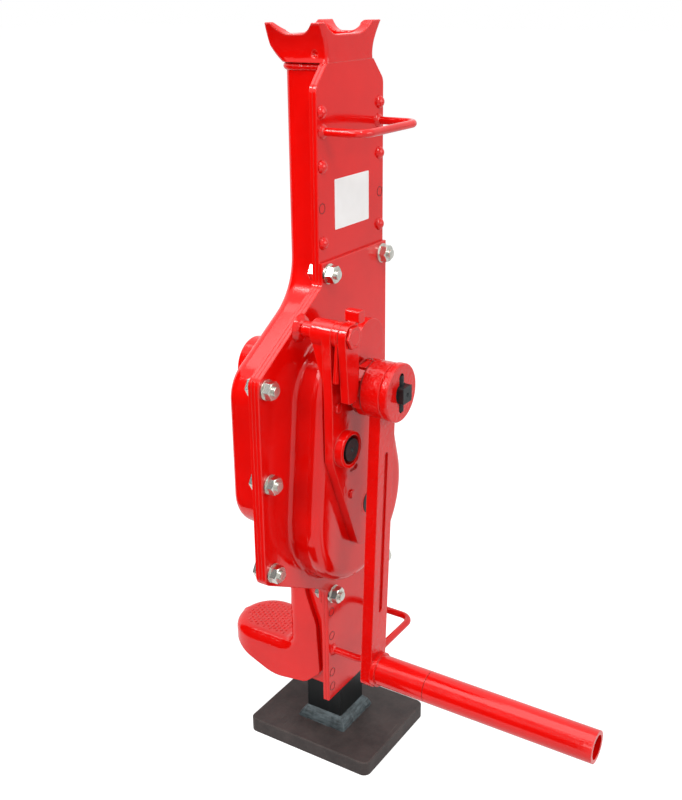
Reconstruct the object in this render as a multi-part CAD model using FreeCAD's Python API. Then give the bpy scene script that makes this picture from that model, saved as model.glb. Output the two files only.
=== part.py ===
import FreeCAD, Part
import math
import os

# Rack and pinion jack. Millimetres, +Z up, origin under the middle of the foot, front at -Y.
# The foot and rack stand still, and the red body climbs the rack when the crank is turned.

V = FreeCAD.Vector

# Clearances
running_gap = 0.05
press_gap = 0.02
guide_gap = 0.3
hole_gap = 0.5
axial_gap = 0.5
past = 1.0
flat = 1e-4

# Foot and rack bar
base_width = 140.0
base_depth = 170.0
base_thick = 18.0
base_corner = 9.0
base_edge = 1.0
rack_width = 50.0
rack_depth = 48.0
rack_front = -21.0
rack_head_gap = 18.0
rack_plain_length = 36.0
foot_weld_leg = 10.5
foot_weld_land = 1.0
foot_weld_rise = 20.0

# Heights of the body: how far it is raised in the photograph, and what stands above what
raised = 36.0
foot_gap = 28.5
pinion_rise = 265.5
shoulder_low_rise = 27.6
shoulder_rise = 96.6
seam_rise = 23.0
neck_rise = 191.0

# Gear teeth
pressure_angle = math.radians(25.0)
addendum = 0.8
dedendum = 1.05
backlash = 0.05
flank_steps = 3
rack_module = 8.0
rack_pinion_teeth = 6
main_module = 5.0
main_gear_teeth = 31
lay_pinion_teeth = 7
first_module = 3.5
first_gear_teeth = 27
input_pinion_teeth = 11
lay_direction = math.radians(121.8)
input_direction = math.radians(63.7)
main_gear_thick = 11.0
main_gear_gap = 5.0
first_gear_thick = 10.0
gear_hub_radius = 21.0

# Shafts and bushes
input_radius = 11.0
lay_radius = 12.0
pinion_radius = 13.0
bush_wall = 3.5
rear_boss_wall = 5.5
rear_boss_reach = 15.0
rear_boss_end = 3.0
crank_boss_radius = 30.0
crank_boss_reach = 27.5
centre_mark = 2.5

# Pressed sheets
sheet = 4.0
plate_gap = 1.0
guide_wall = 7.7
guide_back = 1.5
sheet_edge = 0.7
housing_bend = 14.0
flange_half = 63.5
case_gear_gap = 2.0
case_corner = 12.0
case_slope = 63.0
wall_corner = 42.0
wall_throat = 60.0
pocket_rise = 36.0
tail_margin = 19.5
chamfer_drop = 21.0
neck_half = 44.0

# Dome of the gear cover, round the main gear below and the crank shaft above
dome_face = 34.0
dome_round = 14.0
dome_foot = 6.0
dome_low_gap = 9.9
dome_low_right = 2.5
dome_low_drop = 5.0
dome_high_radius = 66.0
dome_high_right = 12.3
dome_high_drop = 18.4

# Fasteners
bolt_radius = 5.0
bolt_head_flats = 17.0
bolt_head_height = 6.4
nut_height = 8.4
bolt_tail = 3.0
washer_radius = 10.5
washer_thick = 2.0
bolt_edge = 12.5
bolt_dome_gap = 15.8
side_bolt_edge = 10.5
case_bolt_inset = 9.5
seam_bolt_drop = 12.0
tail_bolt_drop = 10.0
rivet_drops = (44.0, 96.0)
rivet_seam_rise = 19.0
rivet_edge = 8.5
rivet_radius = 6.8
rivet_rise = 5.2
rivet_shank = 4.0

# Bails
bail_rod = 4.0
bail_bend = 14.0
bail_edge = 10.5
upper_bail_drop = 62.5
upper_bail_reach = 47.0
lower_bail_rise = 65.5
lower_bail_reach = 45.0

# Head: a square cup that bulges at the back and flares into four horns
head_height = 37.0
head_root_rise = 6.0
head_root_flare = -0.5
head_root_back = 2.5
head_waist_rise = 13.0
head_waist_flare = 0.5
head_waist_back = 9.0
head_shoulder_rise = 25.0
head_shoulder_flare = 5.5
head_shoulder_back = 11.0
head_top_flare = 12.5
head_top_front = 2.0
head_top_back = 6.5
head_corner = 4.0
head_cup_corner = 9.0
head_wall = 10.0
head_cup_depth = 8.0
head_cup_half = 40.0
saddle_left = 5.0
saddle_depth = 11.5
saddle_half = 26.0
saddle_slope = 19.0
saddle_round = 14.0
cradle_back = 4.0
cradle_depth = 10.5
cradle_half = 12.0
cradle_slope = 13.0
cradle_round = 9.0
head_hole = 3.5
head_hole_depth = 3.0
head_hole_back = 14.0
head_hole_rise = 8.5
head_weld_rise = 8.0
head_weld_leg = 3.5

# Claw, with heights from the bottom of the body
cheek_thick = 6.0
claw_reach = 142.0
claw_top_rise = 41.5
claw_lip = 21.0
claw_bend = 17.0
claw_top_edge = 13.0
claw_keel_y = 66.0
claw_keel_drop = 10.5
claw_heel_y = 18.0
claw_heel_drop = 3.5
claw_front_y = -3.0
claw_front_rise = 15.5
claw_back_thick = 9.5
claw_upright_rise = 157.5
cheek_shoulder_rise = 122.5
cheek_neck_y = 15.0
cheek_waist_rise = 82.5
cheek_waist_y = 1.0
claw_root = 14.0

# Rack guides inside the channel
guide_height = 42.0
guide_rise = 9.5
back_pad_half = 30.0

# Bearing bracket on the dome
bracket_thick = 10.0
bracket_corner = 12.0
bracket_left = 21.0
bracket_drop = 10.0
bracket_ear = 48.5
bracket_ear_width = 51.0
bracket_ear_round = 25.0
bracket_ear_rise = 63.6
bracket_notch_rise = 38.0
bracket_notch_round = 5.0
boss_wall = 8.0
boss_rise = 9.0
gusset_width = 16.0
gusset_drop = 62.0
bracket_screw = 5.0
bracket_screw_rise = 2.5
bracket_screw_left = 36.5
bracket_screw_up = 23.5
oil_slot_length = 15.0
oil_slot_width = 6.0
oil_slot_depth = 2.0
oil_slot_drop = 29.0
oil_slot_right = 18.0

# Pawl and ratchet
pillar_left = 39.7
pillar_rise = 64.1
pillar_radius = 8.0
pillar_neck = 6.0
pillar_nut_height = 3.0
eye_radius = 13.5
eye_depth = 14.0
spacer_thick = 3.5
leaf_thick = 3.0
leaf_width = 11.0
leaf_length = 46.0
pawl_eye = 13.0
pawl_length = 68.0
pawl_toe_left = 7.0
pawl_toe_right = 8.0
pawl_nose_at = 163.0
pawl_lift_gap = 0.8
pawl_tab_offset = 6.0
pawl_tab_width = 10.0
pawl_tab_height = 12.0
pawl_tab_rise = 24.5
pawl_tab_back = 3.0
pawl_tab_front = 4.0
pawl_tab_edge = 2.0
ratchet_teeth = 12
ratchet_tip = 29.5
ratchet_root = 27.0
ratchet_thick = 9.0

# Crank
collar_radius = 23.5
collar_thick = 2.0
lining_thick = 2.0
lining_radius = 28.5
hub_radius = 29.5
hub_length = 21.5
hub_edge = 1.2
cap_radius = 30.5
cap_thick = 9.0
cap_slot_width = 9.0
cap_slot_length = 42.0
cap_slot_depth = 5.0
cap_edge = 2.0
drive_square = 17.0
drive_edge = 1.5
drive_reach = 7.0
cross_pin_radius = 3.5
cross_pin_length = 38.0
crank_radius = 319.0
crank_lean = 3.6
arm_width = 30.0
arm_thick = 13.0
arm_setback = 5.5
arm_end = 19.0
arm_end_round = 9.0
arm_recess_width = 7.0
arm_recess_depth = 3.0
arm_recess_from = 66.0
arm_recess_to = 250.0
handle_radius = 16.85
handle_core = 12.5
handle_seam = 63.0
handle_reach = 249.0
handle_core_short = 34.0
handle_collar = 2.2
handle_collar_length = 5.0


def shift_of(teeth):
    """Profile shift at which a rack just misses the root of a small pinion."""
    return max(0.0, addendum - teeth * math.sin(pressure_angle) ** 2 / 2)


def tip_radius(teeth, module, shift):
    """Outside radius of a gear."""
    return teeth * module / 2 + (addendum + shift) * module


def polar(centre, direction, distance):
    """Point at a distance from a centre, the direction measured from +X towards +Z."""
    x = centre[0] + distance * math.cos(direction)
    z = centre[1] + distance * math.sin(direction)
    return (x, z)


# Shaft centres, set by the gears' centre distances
body_bottom = base_thick + foot_gap + raised
pinion_height = body_bottom + pinion_rise
rack_reference = -rack_width / 2 + addendum * rack_module
pinion_pitch = rack_pinion_teeth * rack_module / 2
pinion_x = rack_reference - pinion_pitch - shift_of(rack_pinion_teeth) * rack_module
main_distance = (main_gear_teeth + lay_pinion_teeth) * main_module / 2
first_distance = (first_gear_teeth + input_pinion_teeth) * first_module / 2
pinion_axis = (pinion_x, pinion_height)
lay_axis = polar(pinion_axis, lay_direction, main_distance)
input_axis = polar(lay_axis, input_direction, first_distance)
pillar_axis = (input_axis[0] - pillar_left, input_axis[1] + pillar_rise)

# Stations along Y, from the rack backwards and forwards
rack_back = rack_front + rack_depth
housing_inside = rack_back + guide_back
housing_back = housing_inside + sheet
plate_back = rack_front - plate_gap
plate_front = plate_back - sheet
flange_back = plate_back + sheet
cover_front = plate_front - sheet
dome_front = cover_front - dome_face
dome_inside = dome_front + sheet
bracket_front = dome_front - bracket_thick
boss_front = bracket_front - boss_rise
main_gear_back = dome_inside + main_gear_gap + main_gear_thick
first_gear_back = plate_back + 2 * axial_gap + first_gear_thick

# Stations along the input shaft, from the bracket forwards
collar_back = bracket_front - axial_gap - spacer_thick
lining_back = collar_back - collar_thick
ratchet_back = lining_back - lining_thick
ratchet_front = ratchet_back - ratchet_thick
hub_back = ratchet_front - lining_thick
hub_front = hub_back - hub_length
cap_front = hub_front - cap_thick
arm_front = hub_front + arm_setback
arm_back = arm_front + arm_thick
handle_axis = polar(input_axis, math.radians(-90 - crank_lean), crank_radius)
handle_end = arm_front - handle_reach
seam_y = arm_front - handle_seam

# Outline of the body, round the gears
shaft_half = rack_width / 2 + guide_gap + guide_wall + sheet
flange_width = flange_half - shaft_half
dome_low_x = pinion_axis[0] + dome_low_right
dome_low_z = pinion_axis[1] - dome_low_drop
dome_low_radius = tip_radius(main_gear_teeth, main_module, -shift_of(lay_pinion_teeth)) + dome_low_gap
dome_high_x = input_axis[0] + dome_high_right
dome_high_z = input_axis[1] - dome_high_drop
dome_left = min(dome_low_x - dome_low_radius, dome_high_x - dome_high_radius)
first_gear_left = lay_axis[0] - tip_radius(first_gear_teeth, first_module, -shift_of(input_pinion_teeth))
case_by_bolts = dome_left - dome_foot - bolt_dome_gap - washer_radius - bolt_edge
case_by_gear = first_gear_left - case_gear_gap - sheet - flange_width
case_left = min(case_by_bolts, case_by_gear)
tail_top = dome_low_z - dome_low_radius - tail_margin
flange_end = tail_top - 2 * tail_bolt_drop
case_bottom = tail_top + case_slope
shoulder_bottom = input_axis[1] + shoulder_low_rise
shoulder_top = input_axis[1] + shoulder_rise
seam_height = shoulder_top + seam_rise
head_base = seam_height + neck_rise
head_top = head_base + head_height
rack_top = head_base - raised - rack_head_gap
bail_half = flange_half - bail_edge
claw_half = shaft_half + cheek_thick
claw_top = body_bottom + claw_top_rise
claw_upright_top = body_bottom + claw_upright_rise


def on_xz(y):
    """Place flat (u, v) points on a plane across Y."""
    return lambda point: V(point.real, y, point.imag)


def on_yz(x):
    """Place flat (u, v) points on a plane across X."""
    return lambda point: V(x, point.real, point.imag)


def on_xy(z):
    """Place flat (u, v) points on a plane across Z."""
    return lambda point: V(point.real, point.imag, z)


def outline(corners, place):
    """Closed outline through (u, v, radius) corners, each rounded by its own arc."""
    points = [complex(u, v) for u, v, radius in corners]
    count = len(points)
    starts = []
    middles = []
    ends = []
    for i in range(count):
        back = points[i - 1] - points[i]
        ahead = points[(i + 1) % count] - points[i]
        back = back / abs(back)
        ahead = ahead / abs(ahead)
        half = abs(math.acos((back * ahead.conjugate()).real)) / 2
        radius = corners[i][2]
        reach = radius / math.tan(half)
        inward = (back + ahead) / abs(back + ahead)
        starts.append(points[i] + back * reach)
        ends.append(points[i] + ahead * reach)
        middles.append(points[i] + inward * (radius / math.sin(half) - radius))
    edges = []
    for i in range(count):
        after = starts[(i + 1) % count]
        if corners[i][2] > 0:
            edges.append(Part.Arc(place(starts[i]), place(middles[i]), place(ends[i])).toShape())
        if abs(after - ends[i]) > 1e-6:
            edges.append(Part.makeLine(place(ends[i]), place(after)))
    return Part.Wire(edges)


def prism_y(corners, y_from, y_to):
    """Solid between two planes across Y with an (x, z, radius) outline."""
    face = Part.Face(outline(corners, on_xz(y_from)))
    return face.extrude(V(0, y_to - y_from, 0))


def prism_x(corners, x_from, x_to):
    """Solid between two planes across X with a (y, z, radius) outline."""
    face = Part.Face(outline(corners, on_yz(x_from)))
    return face.extrude(V(x_to - x_from, 0, 0))


def prism_z(corners, z_from, z_to):
    """Solid between two planes across Z with an (x, y, radius) outline."""
    face = Part.Face(outline(corners, on_xy(z_from)))
    return face.extrude(V(0, 0, z_to - z_from))


def rectangle(u_from, u_to, v_from, v_to, radius):
    """Corners of a rounded rectangle."""
    return [(u_from, v_from, radius), (u_to, v_from, radius), (u_to, v_to, radius), (u_from, v_to, radius)]


def block(x_from, x_to, y_from, y_to, z_from, z_to):
    """Plain box between two corners."""
    return Part.makeBox(x_to - x_from, y_to - y_from, z_to - z_from, V(x_from, y_from, z_from))


def rod(axis, radius, y_from, y_to):
    """Round bar along Y at an (x, z) axis, from the back station to the front one."""
    start = V(axis[0], max(y_from, y_to), axis[1])
    return Part.makeCylinder(radius, abs(y_to - y_from), start, V(0, -1, 0))


def ring(axis, outer, inner, y_from, y_to):
    """Tube along Y at an (x, z) axis."""
    return rod(axis, outer, y_from, y_to).cut(rod(axis, inner, y_from + past, y_to - past))


def hexagon(axis, flats, y_from, y_to):
    """Hexagonal bar along Y."""
    corner = flats / math.sqrt(3)
    points = [polar(axis, math.radians(60 * k), corner) for k in range(6)]
    return prism_y([(x, z, 0) for x, z in points], y_from, y_to)


def inset(corners, distance):
    """Polygon listed anticlockwise, with every side moved inwards by one distance."""
    points = [complex(u, v) for u, v, radius in corners]
    count = len(points)
    moved = []
    for i in range(count):
        before = points[i] - points[i - 1]
        after = points[(i + 1) % count] - points[i]
        before = before / abs(before)
        after = after / abs(after)
        turn = before.real * after.imag - before.imag * after.real
        along = distance * (1 - (before * after.conjugate()).real) / turn
        moved.append(points[i] + before * 1j * distance - before * along)
    return moved


def case_outline():
    """Corners of the flange without its chamfered shoulders, anticlockwise from the lower right."""
    return [
        (flange_half, body_bottom, 0),
        (flange_half, head_base, 0),
        (-flange_half, head_base, 0),
        (-flange_half, shoulder_top, case_corner),
        (case_left, shoulder_bottom, case_corner),
        (case_left, case_bottom, case_corner),
        (-flange_half, tail_top, case_corner),
        (-flange_half, body_bottom, 0),
    ]


def plate_outline():
    """Corners of the front plate: the flange with shoulders chamfered to the neck under the head."""
    sides = case_outline()
    shoulders = [
        (flange_half, head_base - chamfer_drop, case_corner),
        (neck_half, head_base, 0),
        (-neck_half, head_base, 0),
        (-flange_half, head_base - chamfer_drop, case_corner),
    ]
    return sides[:1] + shoulders + sides[3:]


def wall_outline(extra):
    """Corners of the channel's walls, inside the flange by its width and by an extra thickness."""
    sides = inset(case_outline(), flange_width + extra)
    beyond = sheet + flange_width
    radii = (0, 0, 0, wall_throat + extra, wall_corner - extra, wall_corner - extra, wall_throat + extra, 0)
    corners = [(point.real, point.imag, radius) for point, radius in zip(sides, radii)]
    low = body_bottom - beyond
    high = head_base + beyond
    for i in (5, 6):
        corners[i] = (corners[i][0], corners[i][1] + pocket_rise, corners[i][2])
    corners[0] = (corners[0][0], low, 0)
    corners[1] = (corners[1][0], high, 0)
    corners[2] = (corners[2][0], high, 0)
    corners[7] = (corners[7][0], low, 0)
    return corners


def edges_on_plane(shape, y):
    """Edges of a shape that lie in one plane across Y."""
    return [e for e in shape.Edges if abs(e.BoundBox.YMin - y) < flat and abs(e.BoundBox.YMax - y) < flat]


def outline_edges(shape, y):
    """Edges of a sheet's outline in one plane across Y, without the one under the head."""
    return [e for e in edges_on_plane(shape, y) if e.BoundBox.ZMin < head_base - flat]


def bolt_places():
    """(x, z) of the flange bolts: the pocket's edge, and pairs at the seam and the tail."""
    low = case_bottom + case_bolt_inset
    high = shoulder_bottom - case_bolt_inset
    places = [(case_left + bolt_edge, z) for z in (low, (low + high) / 2, high)]
    for z in (seam_height - seam_bolt_drop, tail_top - tail_bolt_drop):
        for side in (-1, 1):
            places.append((side * (flange_half - side_bolt_edge), z))
    return places


def rivet_places():
    """(x, z) of the rivets along both edges of the front plate."""
    heights = [head_base - drop for drop in rivet_drops] + [seam_height + rivet_seam_rise]
    return [(side * (flange_half - rivet_edge), z) for z in heights for side in (-1, 1)]


def base_plate():
    """Thick square foot with rounded corners and a broken top edge."""
    half_x = base_width / 2
    half_y = base_depth / 2
    plate = prism_z(rectangle(-half_x, half_x, -half_y, half_y, base_corner), 0, base_thick)
    top = [e for e in plate.Edges if e.BoundBox.ZMin > base_thick - base_edge]
    return plate.makeChamfer(base_edge, top)


def rack():
    """Square bar with straight-sided teeth on its -X face, one gap centred on the pinion."""
    tip = -rack_width / 2
    root = tip + (addendum + dedendum) * rack_module
    pitch = math.pi * rack_module
    slope = math.tan(pressure_angle) * rack_module
    gap = pitch / 4 + backlash * rack_module / 2
    mouth = gap + addendum * slope
    floor = gap - dedendum * slope
    corners = [(-tip, base_thick, 0), (-tip, rack_top, 0), (tip, rack_top, 0)]
    highest = math.floor((rack_top - mouth - pinion_height) / pitch)
    lowest = math.ceil((mouth - raised - rack_plain_length) / pitch)
    for k in range(highest, lowest - 1, -1):
        z = pinion_height + k * pitch
        corners.append((tip, z + mouth, 0))
        corners.append((root, z + floor, 0))
        corners.append((root, z - floor, 0))
        corners.append((tip, z - mouth, 0))
    corners.append((tip, base_thick, 0))
    return prism_y(corners, rack_front, rack_back)


def foot_weld():
    """Fillet weld round the rack's foot."""
    half = rack_width / 2
    wires = []
    for z, grow in ((base_thick, foot_weld_leg), (base_thick + foot_weld_rise, foot_weld_land)):
        bead = rectangle(-half - grow, half + grow, rack_front - grow, rack_back + grow, grow / 2)
        wires.append(outline(bead, on_xy(z)))
    mound = Part.makeLoft(wires, True, True)
    return mound.cut(block(-half, half, rack_front, rack_back, 0, rack_top))


def bolt_holes(y_from, y_to):
    """Clearance holes for the flange bolts."""
    return [rod(place, bolt_radius + hole_gap, y_from, y_to) for place in bolt_places()]


def rivet_holes(y_from, y_to):
    """Holes for the rivets."""
    return [rod(place, rivet_shank + press_gap, y_from, y_to) for place in rivet_places()]


def rear_housing():
    """Pressed hat section: a deep channel with a gear pocket, and a flange all round."""
    outer = prism_y(wall_outline(0), flange_back, housing_back)
    outer = outer.makeFillet(housing_bend, edges_on_plane(outer, housing_back))
    inner = prism_y(wall_outline(sheet), flange_back, housing_inside)
    inner = inner.makeFillet(housing_bend - sheet, edges_on_plane(inner, housing_inside))
    mouth = prism_y(wall_outline(sheet), plate_back, flange_back)
    flange = prism_y(plate_outline(), plate_back, flange_back)
    flange = flange.makeChamfer(sheet_edge, outline_edges(flange, plate_back))
    for side in (-flange_half, shaft_half):
        strip = block(side, side + flange_width, plate_back, flange_back, body_bottom, flange_end)
        flange = flange.cut(strip)
    body = outer.fuse(flange).cut(inner).cut(mouth)
    body = body.common(block(case_left, flange_half, plate_back, housing_back, body_bottom, head_base))
    through = flange_back + past
    holes = bolt_holes(through, plate_back - past) + rivet_holes(through, plate_back - past)
    for axis, radius in shaft_bores():
        holes.append(rod(axis, rear_boss_radius(axis, radius), housing_back + past, housing_inside - past))
    return body.cut(holes)


def front_plate():
    """Flat plate over the channel, from the neck under the head to the tail, bored for the shafts."""
    plate = prism_y(plate_outline(), plate_front, plate_back)
    plate = plate.makeChamfer(sheet_edge, outline_edges(plate, plate_front))
    behind = plate_back + past
    ahead = plate_front - past
    holes = bolt_holes(behind, ahead) + rivet_holes(behind, ahead)
    for axis, radius in shaft_bores():
        holes.append(rod(axis, radius + bush_wall, behind, ahead))
    return plate.cut(holes)


def dome_outline(offset):
    """Arcs and tangent lines round the dome's two circles, with the radii grown by an offset."""
    low = complex(dome_low_x, dome_low_z)
    high = complex(dome_high_x, dome_high_z)
    along = high - low
    lean = math.acos((dome_low_radius - dome_high_radius) / abs(along))
    heading = math.atan2(along.imag, along.real)
    sides = [complex(math.cos(heading + s * lean), math.sin(heading + s * lean)) for s in (-1, 1)]
    up = along / abs(along)
    low_radius = dome_low_radius + offset
    high_radius = dome_high_radius + offset
    points = [low + sides[0] * low_radius, high + sides[0] * high_radius, high + up * high_radius]
    points += [high + sides[1] * high_radius, low + sides[1] * low_radius, low - up * low_radius]
    return points


def dome_solid(offset, y_from, y_to, round_radius):
    """Rounded pillow standing on the cover, with its front edge rounded."""
    points = [on_xz(y_from)(point) for point in dome_outline(offset)]
    edges = [
        Part.makeLine(points[0], points[1]),
        Part.Arc(points[1], points[2], points[3]).toShape(),
        Part.makeLine(points[3], points[4]),
        Part.Arc(points[4], points[5], points[0]).toShape(),
    ]
    pillow = Part.Face(Part.Wire(edges)).extrude(V(0, y_to - y_from, 0))
    return pillow.makeFillet(round_radius, edges_on_plane(pillow, y_to))


def gear_cover():
    """Cover sheet below the seam with its pressed dome, bored for the shafts and the pawl pillar."""
    sheet_solid = prism_y(plate_outline(), cover_front, plate_front)
    below = block(case_left, flange_half, cover_front, plate_front, body_bottom, seam_height)
    cover = sheet_solid.common(below)
    cover = cover.makeChamfer(sheet_edge, edges_on_plane(cover, cover_front))
    cover = cover.fuse(dome_solid(0, plate_front, dome_front, dome_round)).removeSplitter()
    foot = [e for e in edges_on_plane(cover, cover_front) if on_dome(e)]
    cover = cover.makeFillet(dome_foot, foot)
    cover = cover.cut(dome_solid(-sheet, plate_front, dome_inside, dome_round - sheet))
    holes = bolt_holes(plate_front + past, cover_front - past)
    for axis, radius in shaft_bores():
        holes.append(rod(axis, radius + bush_wall, dome_inside + past, dome_front - past))
    holes.append(rod(pillar_axis, pillar_neck + press_gap, plate_front + past, cover_front - past))
    return cover.cut(holes)


def on_dome(edge):
    """True if an edge's middle lies on the dome's outline."""
    touching = 1e-3
    middle = edge.valueAt((edge.FirstParameter + edge.LastParameter) / 2)
    dome = dome_solid(0, plate_front, dome_front, dome_round)
    return dome.distToShape(Part.Vertex(middle))[0] < touching


def shaft_bores():
    """The three shafts' (x, z) axes with their radii."""
    return ((input_axis, input_radius), (lay_axis, lay_radius), (pinion_axis, pinion_radius))


def rear_boss_radius(axis, radius):
    """Outside radius of a rear boss; the crank shaft's is the largest."""
    return crank_boss_radius if axis == input_axis else radius + bush_wall + rear_boss_wall


def rear_boss_back(axis):
    """Station of a rear boss's end; the crank shaft's stands out furthest."""
    return housing_back + (crank_boss_reach if axis == input_axis else rear_boss_reach)


def centred(shaft, axis, y):
    """Shaft with a lathe's centre mark in its front end."""
    mark = Part.makeCone(centre_mark, 0, centre_mark, V(axis[0], y, axis[1]), V(0, 1, 0))
    return shaft.cut(mark)


def bracket_outline():
    """Corners of the bracket plate: an arm to the pillar, and a round ear beyond a notch."""
    low_left = pinion_axis[0] - pinion_radius - boss_wall
    low = pinion_axis[1] - pinion_radius - boss_wall
    right = pinion_axis[0] + pinion_radius + boss_wall + bush_wall
    left = lay_axis[0] - bracket_left
    ear_right = input_axis[0] + bracket_ear
    ear_bottom = input_axis[1] - input_radius - boss_wall
    ear_top = input_axis[1] + bracket_ear_rise
    ear_left = ear_right - bracket_ear_width
    notch_floor = input_axis[1] + bracket_notch_rise
    return [
        (pillar_axis[0] - eye_radius, pillar_axis[1], eye_radius / 2),
        (left, input_axis[1], bracket_corner),
        (left, lay_axis[1] - bracket_drop, bracket_corner),
        (low_left, low - 2 * boss_wall - bracket_corner, bracket_corner),
        (right, low - boss_wall, bracket_corner),
        (right, pinion_axis[1] + pinion_radius, bracket_corner),
        (ear_right, ear_bottom, bracket_corner),
        (ear_right, ear_top, bracket_ear_round),
        (ear_left, ear_top, bracket_ear_round),
        (ear_left, notch_floor, bracket_notch_round),
        (pillar_axis[0] + eye_radius, notch_floor, bracket_notch_round),
        (pillar_axis[0] + eye_radius, ear_top, eye_radius / 2),
        (pillar_axis[0], pillar_axis[1] + eye_radius, eye_radius / 2),
    ]


def bearing_bracket():
    """Bracket on the dome: it carries the front bushes, one in a raised boss, and the pawl pillar."""
    bracket = prism_y(bracket_outline(), bracket_front, dome_front)
    eye_back = dome_front + eye_depth
    bracket = bracket.fuse(rod(pillar_axis, eye_radius, eye_back, bracket_front))
    web = [(dome_front, pillar_axis[1], 0), (eye_back, pillar_axis[1], 0)]
    web += [(eye_back, pillar_axis[1] - eye_radius, 0), (dome_front, pillar_axis[1] - gusset_drop, 0)]
    gusset = prism_x(web, pillar_axis[0] - gusset_width / 2, pillar_axis[0] + gusset_width / 2)
    bracket = bracket.fuse(gusset.cut(dome_solid(0, plate_front, dome_front, dome_round)))
    lay_boss = lay_radius + bush_wall + boss_wall / 2
    bracket = bracket.fuse(rod(lay_axis, lay_boss, bracket_front, boss_front))
    for axis, radius in shaft_bores():
        bracket = bracket.cut(rod(axis, radius + bush_wall, dome_front + past, boss_front - past))
    for place in bracket_screw_places():
        screw_hole = bracket_screw / 2 + press_gap
        bracket = bracket.cut(rod(place, screw_hole, dome_front + past, bracket_front - past))
    slot_left = lay_axis[0] + oil_slot_right - oil_slot_length / 2
    slot_low = lay_axis[1] - oil_slot_drop - oil_slot_width / 2
    slot_right = slot_left + oil_slot_length
    slot_high = slot_low + oil_slot_width
    slot = rectangle(slot_left, slot_right, slot_low, slot_high, oil_slot_width / 2)
    bracket = bracket.cut(prism_y(slot, bracket_front + oil_slot_depth, bracket_front - past))
    pillar_hole = pillar_radius + press_gap
    return bracket.cut(rod(pillar_axis, pillar_hole, eye_back + past, bracket_front - past))


def bracket_screw_places():
    """(x, z) of the bracket's screws, beside its bores."""
    low = (pinion_axis[0] - bracket_screw_left, pinion_axis[1] + bracket_screw_up)
    high = (lay_axis[0] - lay_radius, input_axis[1] - bracket_corner)
    return [low, high]


def bracket_screws():
    """Round-headed screws that hold the bracket to the dome."""
    screws = []
    for place in bracket_screw_places():
        front = bracket_front - bracket_screw_rise
        head = rod(place, bracket_screw, bracket_front, front)
        head = head.makeFillet(bracket_screw_rise / 2, edges_on_plane(head, front))
        screws.append(head.fuse(rod(place, bracket_screw / 2, dome_front, bracket_front)).removeSplitter())
    return screws


def shaft_bushes(axis, radius):
    """Plain bearing bushes on one shaft, in its rear boss and in the bracket."""
    stations = ((rear_boss_back(axis) - rear_boss_end, housing_inside), (dome_inside, bracket_front))
    outer = radius + bush_wall - press_gap
    return [ring(axis, outer, radius + running_gap, y_from, y_to) for y_from, y_to in stations]


def rear_bosses():
    """Blind bearing bosses in the back wall, one for each shaft."""
    bosses = []
    for axis, radius in shaft_bores():
        back = rear_boss_back(axis)
        boss = rod(axis, rear_boss_radius(axis, radius) - press_gap, back, housing_inside)
        boss = boss.makeFillet(rear_boss_end, edges_on_plane(boss, back))
        floor = back - rear_boss_end
        bosses.append(boss.cut(rod(axis, radius + bush_wall, floor, housing_inside - past)))
    return bosses


def flange_bolts():
    """Hexagon bolts with their heads behind the flange."""
    bolts = []
    for place in bolt_places():
        head = hexagon(place, bolt_head_flats, flange_back, flange_back + bolt_head_height)
        tail = cover_front - washer_thick - nut_height - bolt_tail
        bolts.append(head.fuse(rod(place, bolt_radius, flange_back, tail)))
    return bolts


def flange_nuts():
    """Nuts on the front of the cover, with their outer corners turned off."""
    nuts = []
    back = cover_front - washer_thick
    front = back - nut_height
    corner = bolt_head_flats / math.sqrt(3)
    for place in bolt_places():
        seat = V(place[0], back, place[1])
        crown = Part.makeCone(corner + nut_height, bolt_head_flats / 2, nut_height, seat, V(0, -1, 0))
        nut = hexagon(place, bolt_head_flats, back, front).common(crown)
        nuts.append(nut.cut(rod(place, bolt_radius + press_gap, back + past, front - past)))
    return nuts


def flange_washers():
    """Washers under the nuts."""
    back = cover_front
    front = cover_front - washer_thick
    return [ring(place, washer_radius, bolt_radius + hole_gap / 2, back, front) for place in bolt_places()]


def plate_rivets():
    """Button-headed rivets through the front plate and the flange."""
    ball = (rivet_radius ** 2 + rivet_rise ** 2) / (2 * rivet_rise)
    rivets = []
    for place in rivet_places():
        sphere = Part.makeSphere(ball, V(place[0], plate_front - rivet_rise + ball, place[1]))
        head = sphere.common(rod(place, rivet_radius, plate_front, plate_front - rivet_rise))
        rivets.append(head.fuse(rod(place, rivet_shank, flange_back, plate_front)))
    return rivets


def bail(height, seat, reach):
    """Bent rod handle: two straight legs and a cross bar joined by bends, welded to the plate."""
    front = seat - reach
    path = [(-bail_half, seat), (-bail_half, front + bail_bend), (-bail_half + bail_bend, front)]
    path += [(bail_half - bail_bend, front), (bail_half, front + bail_bend), (bail_half, seat)]
    points = [V(x, y, height) for x, y in path]
    diagonal = bail_bend * (1 - math.sqrt(0.5))
    left = V(-bail_half + diagonal, front + diagonal, height)
    right = V(bail_half - diagonal, front + diagonal, height)
    edges = [
        Part.makeLine(points[0], points[1]),
        Part.Arc(points[1], left, points[2]).toShape(),
        Part.makeLine(points[2], points[3]),
        Part.Arc(points[3], right, points[4]).toShape(),
        Part.makeLine(points[4], points[5]),
    ]
    section = Part.Wire(Part.makeCircle(bail_rod, points[0], V(0, 1, 0)))
    return Part.Wire(edges).makePipeShell([section], True, True)


def notch(middle, half, slope, depth, corner):
    """Corners of a notch cut down from the head's top, with sloping sides and a rounded floor."""
    floor = head_top - depth
    above = head_top + depth
    wide = half + 2 * slope
    left = [(middle - wide, above, 0), (middle - half, floor, corner)]
    return left + [(middle + half, floor, corner), (middle + wide, above, 0)]


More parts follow.
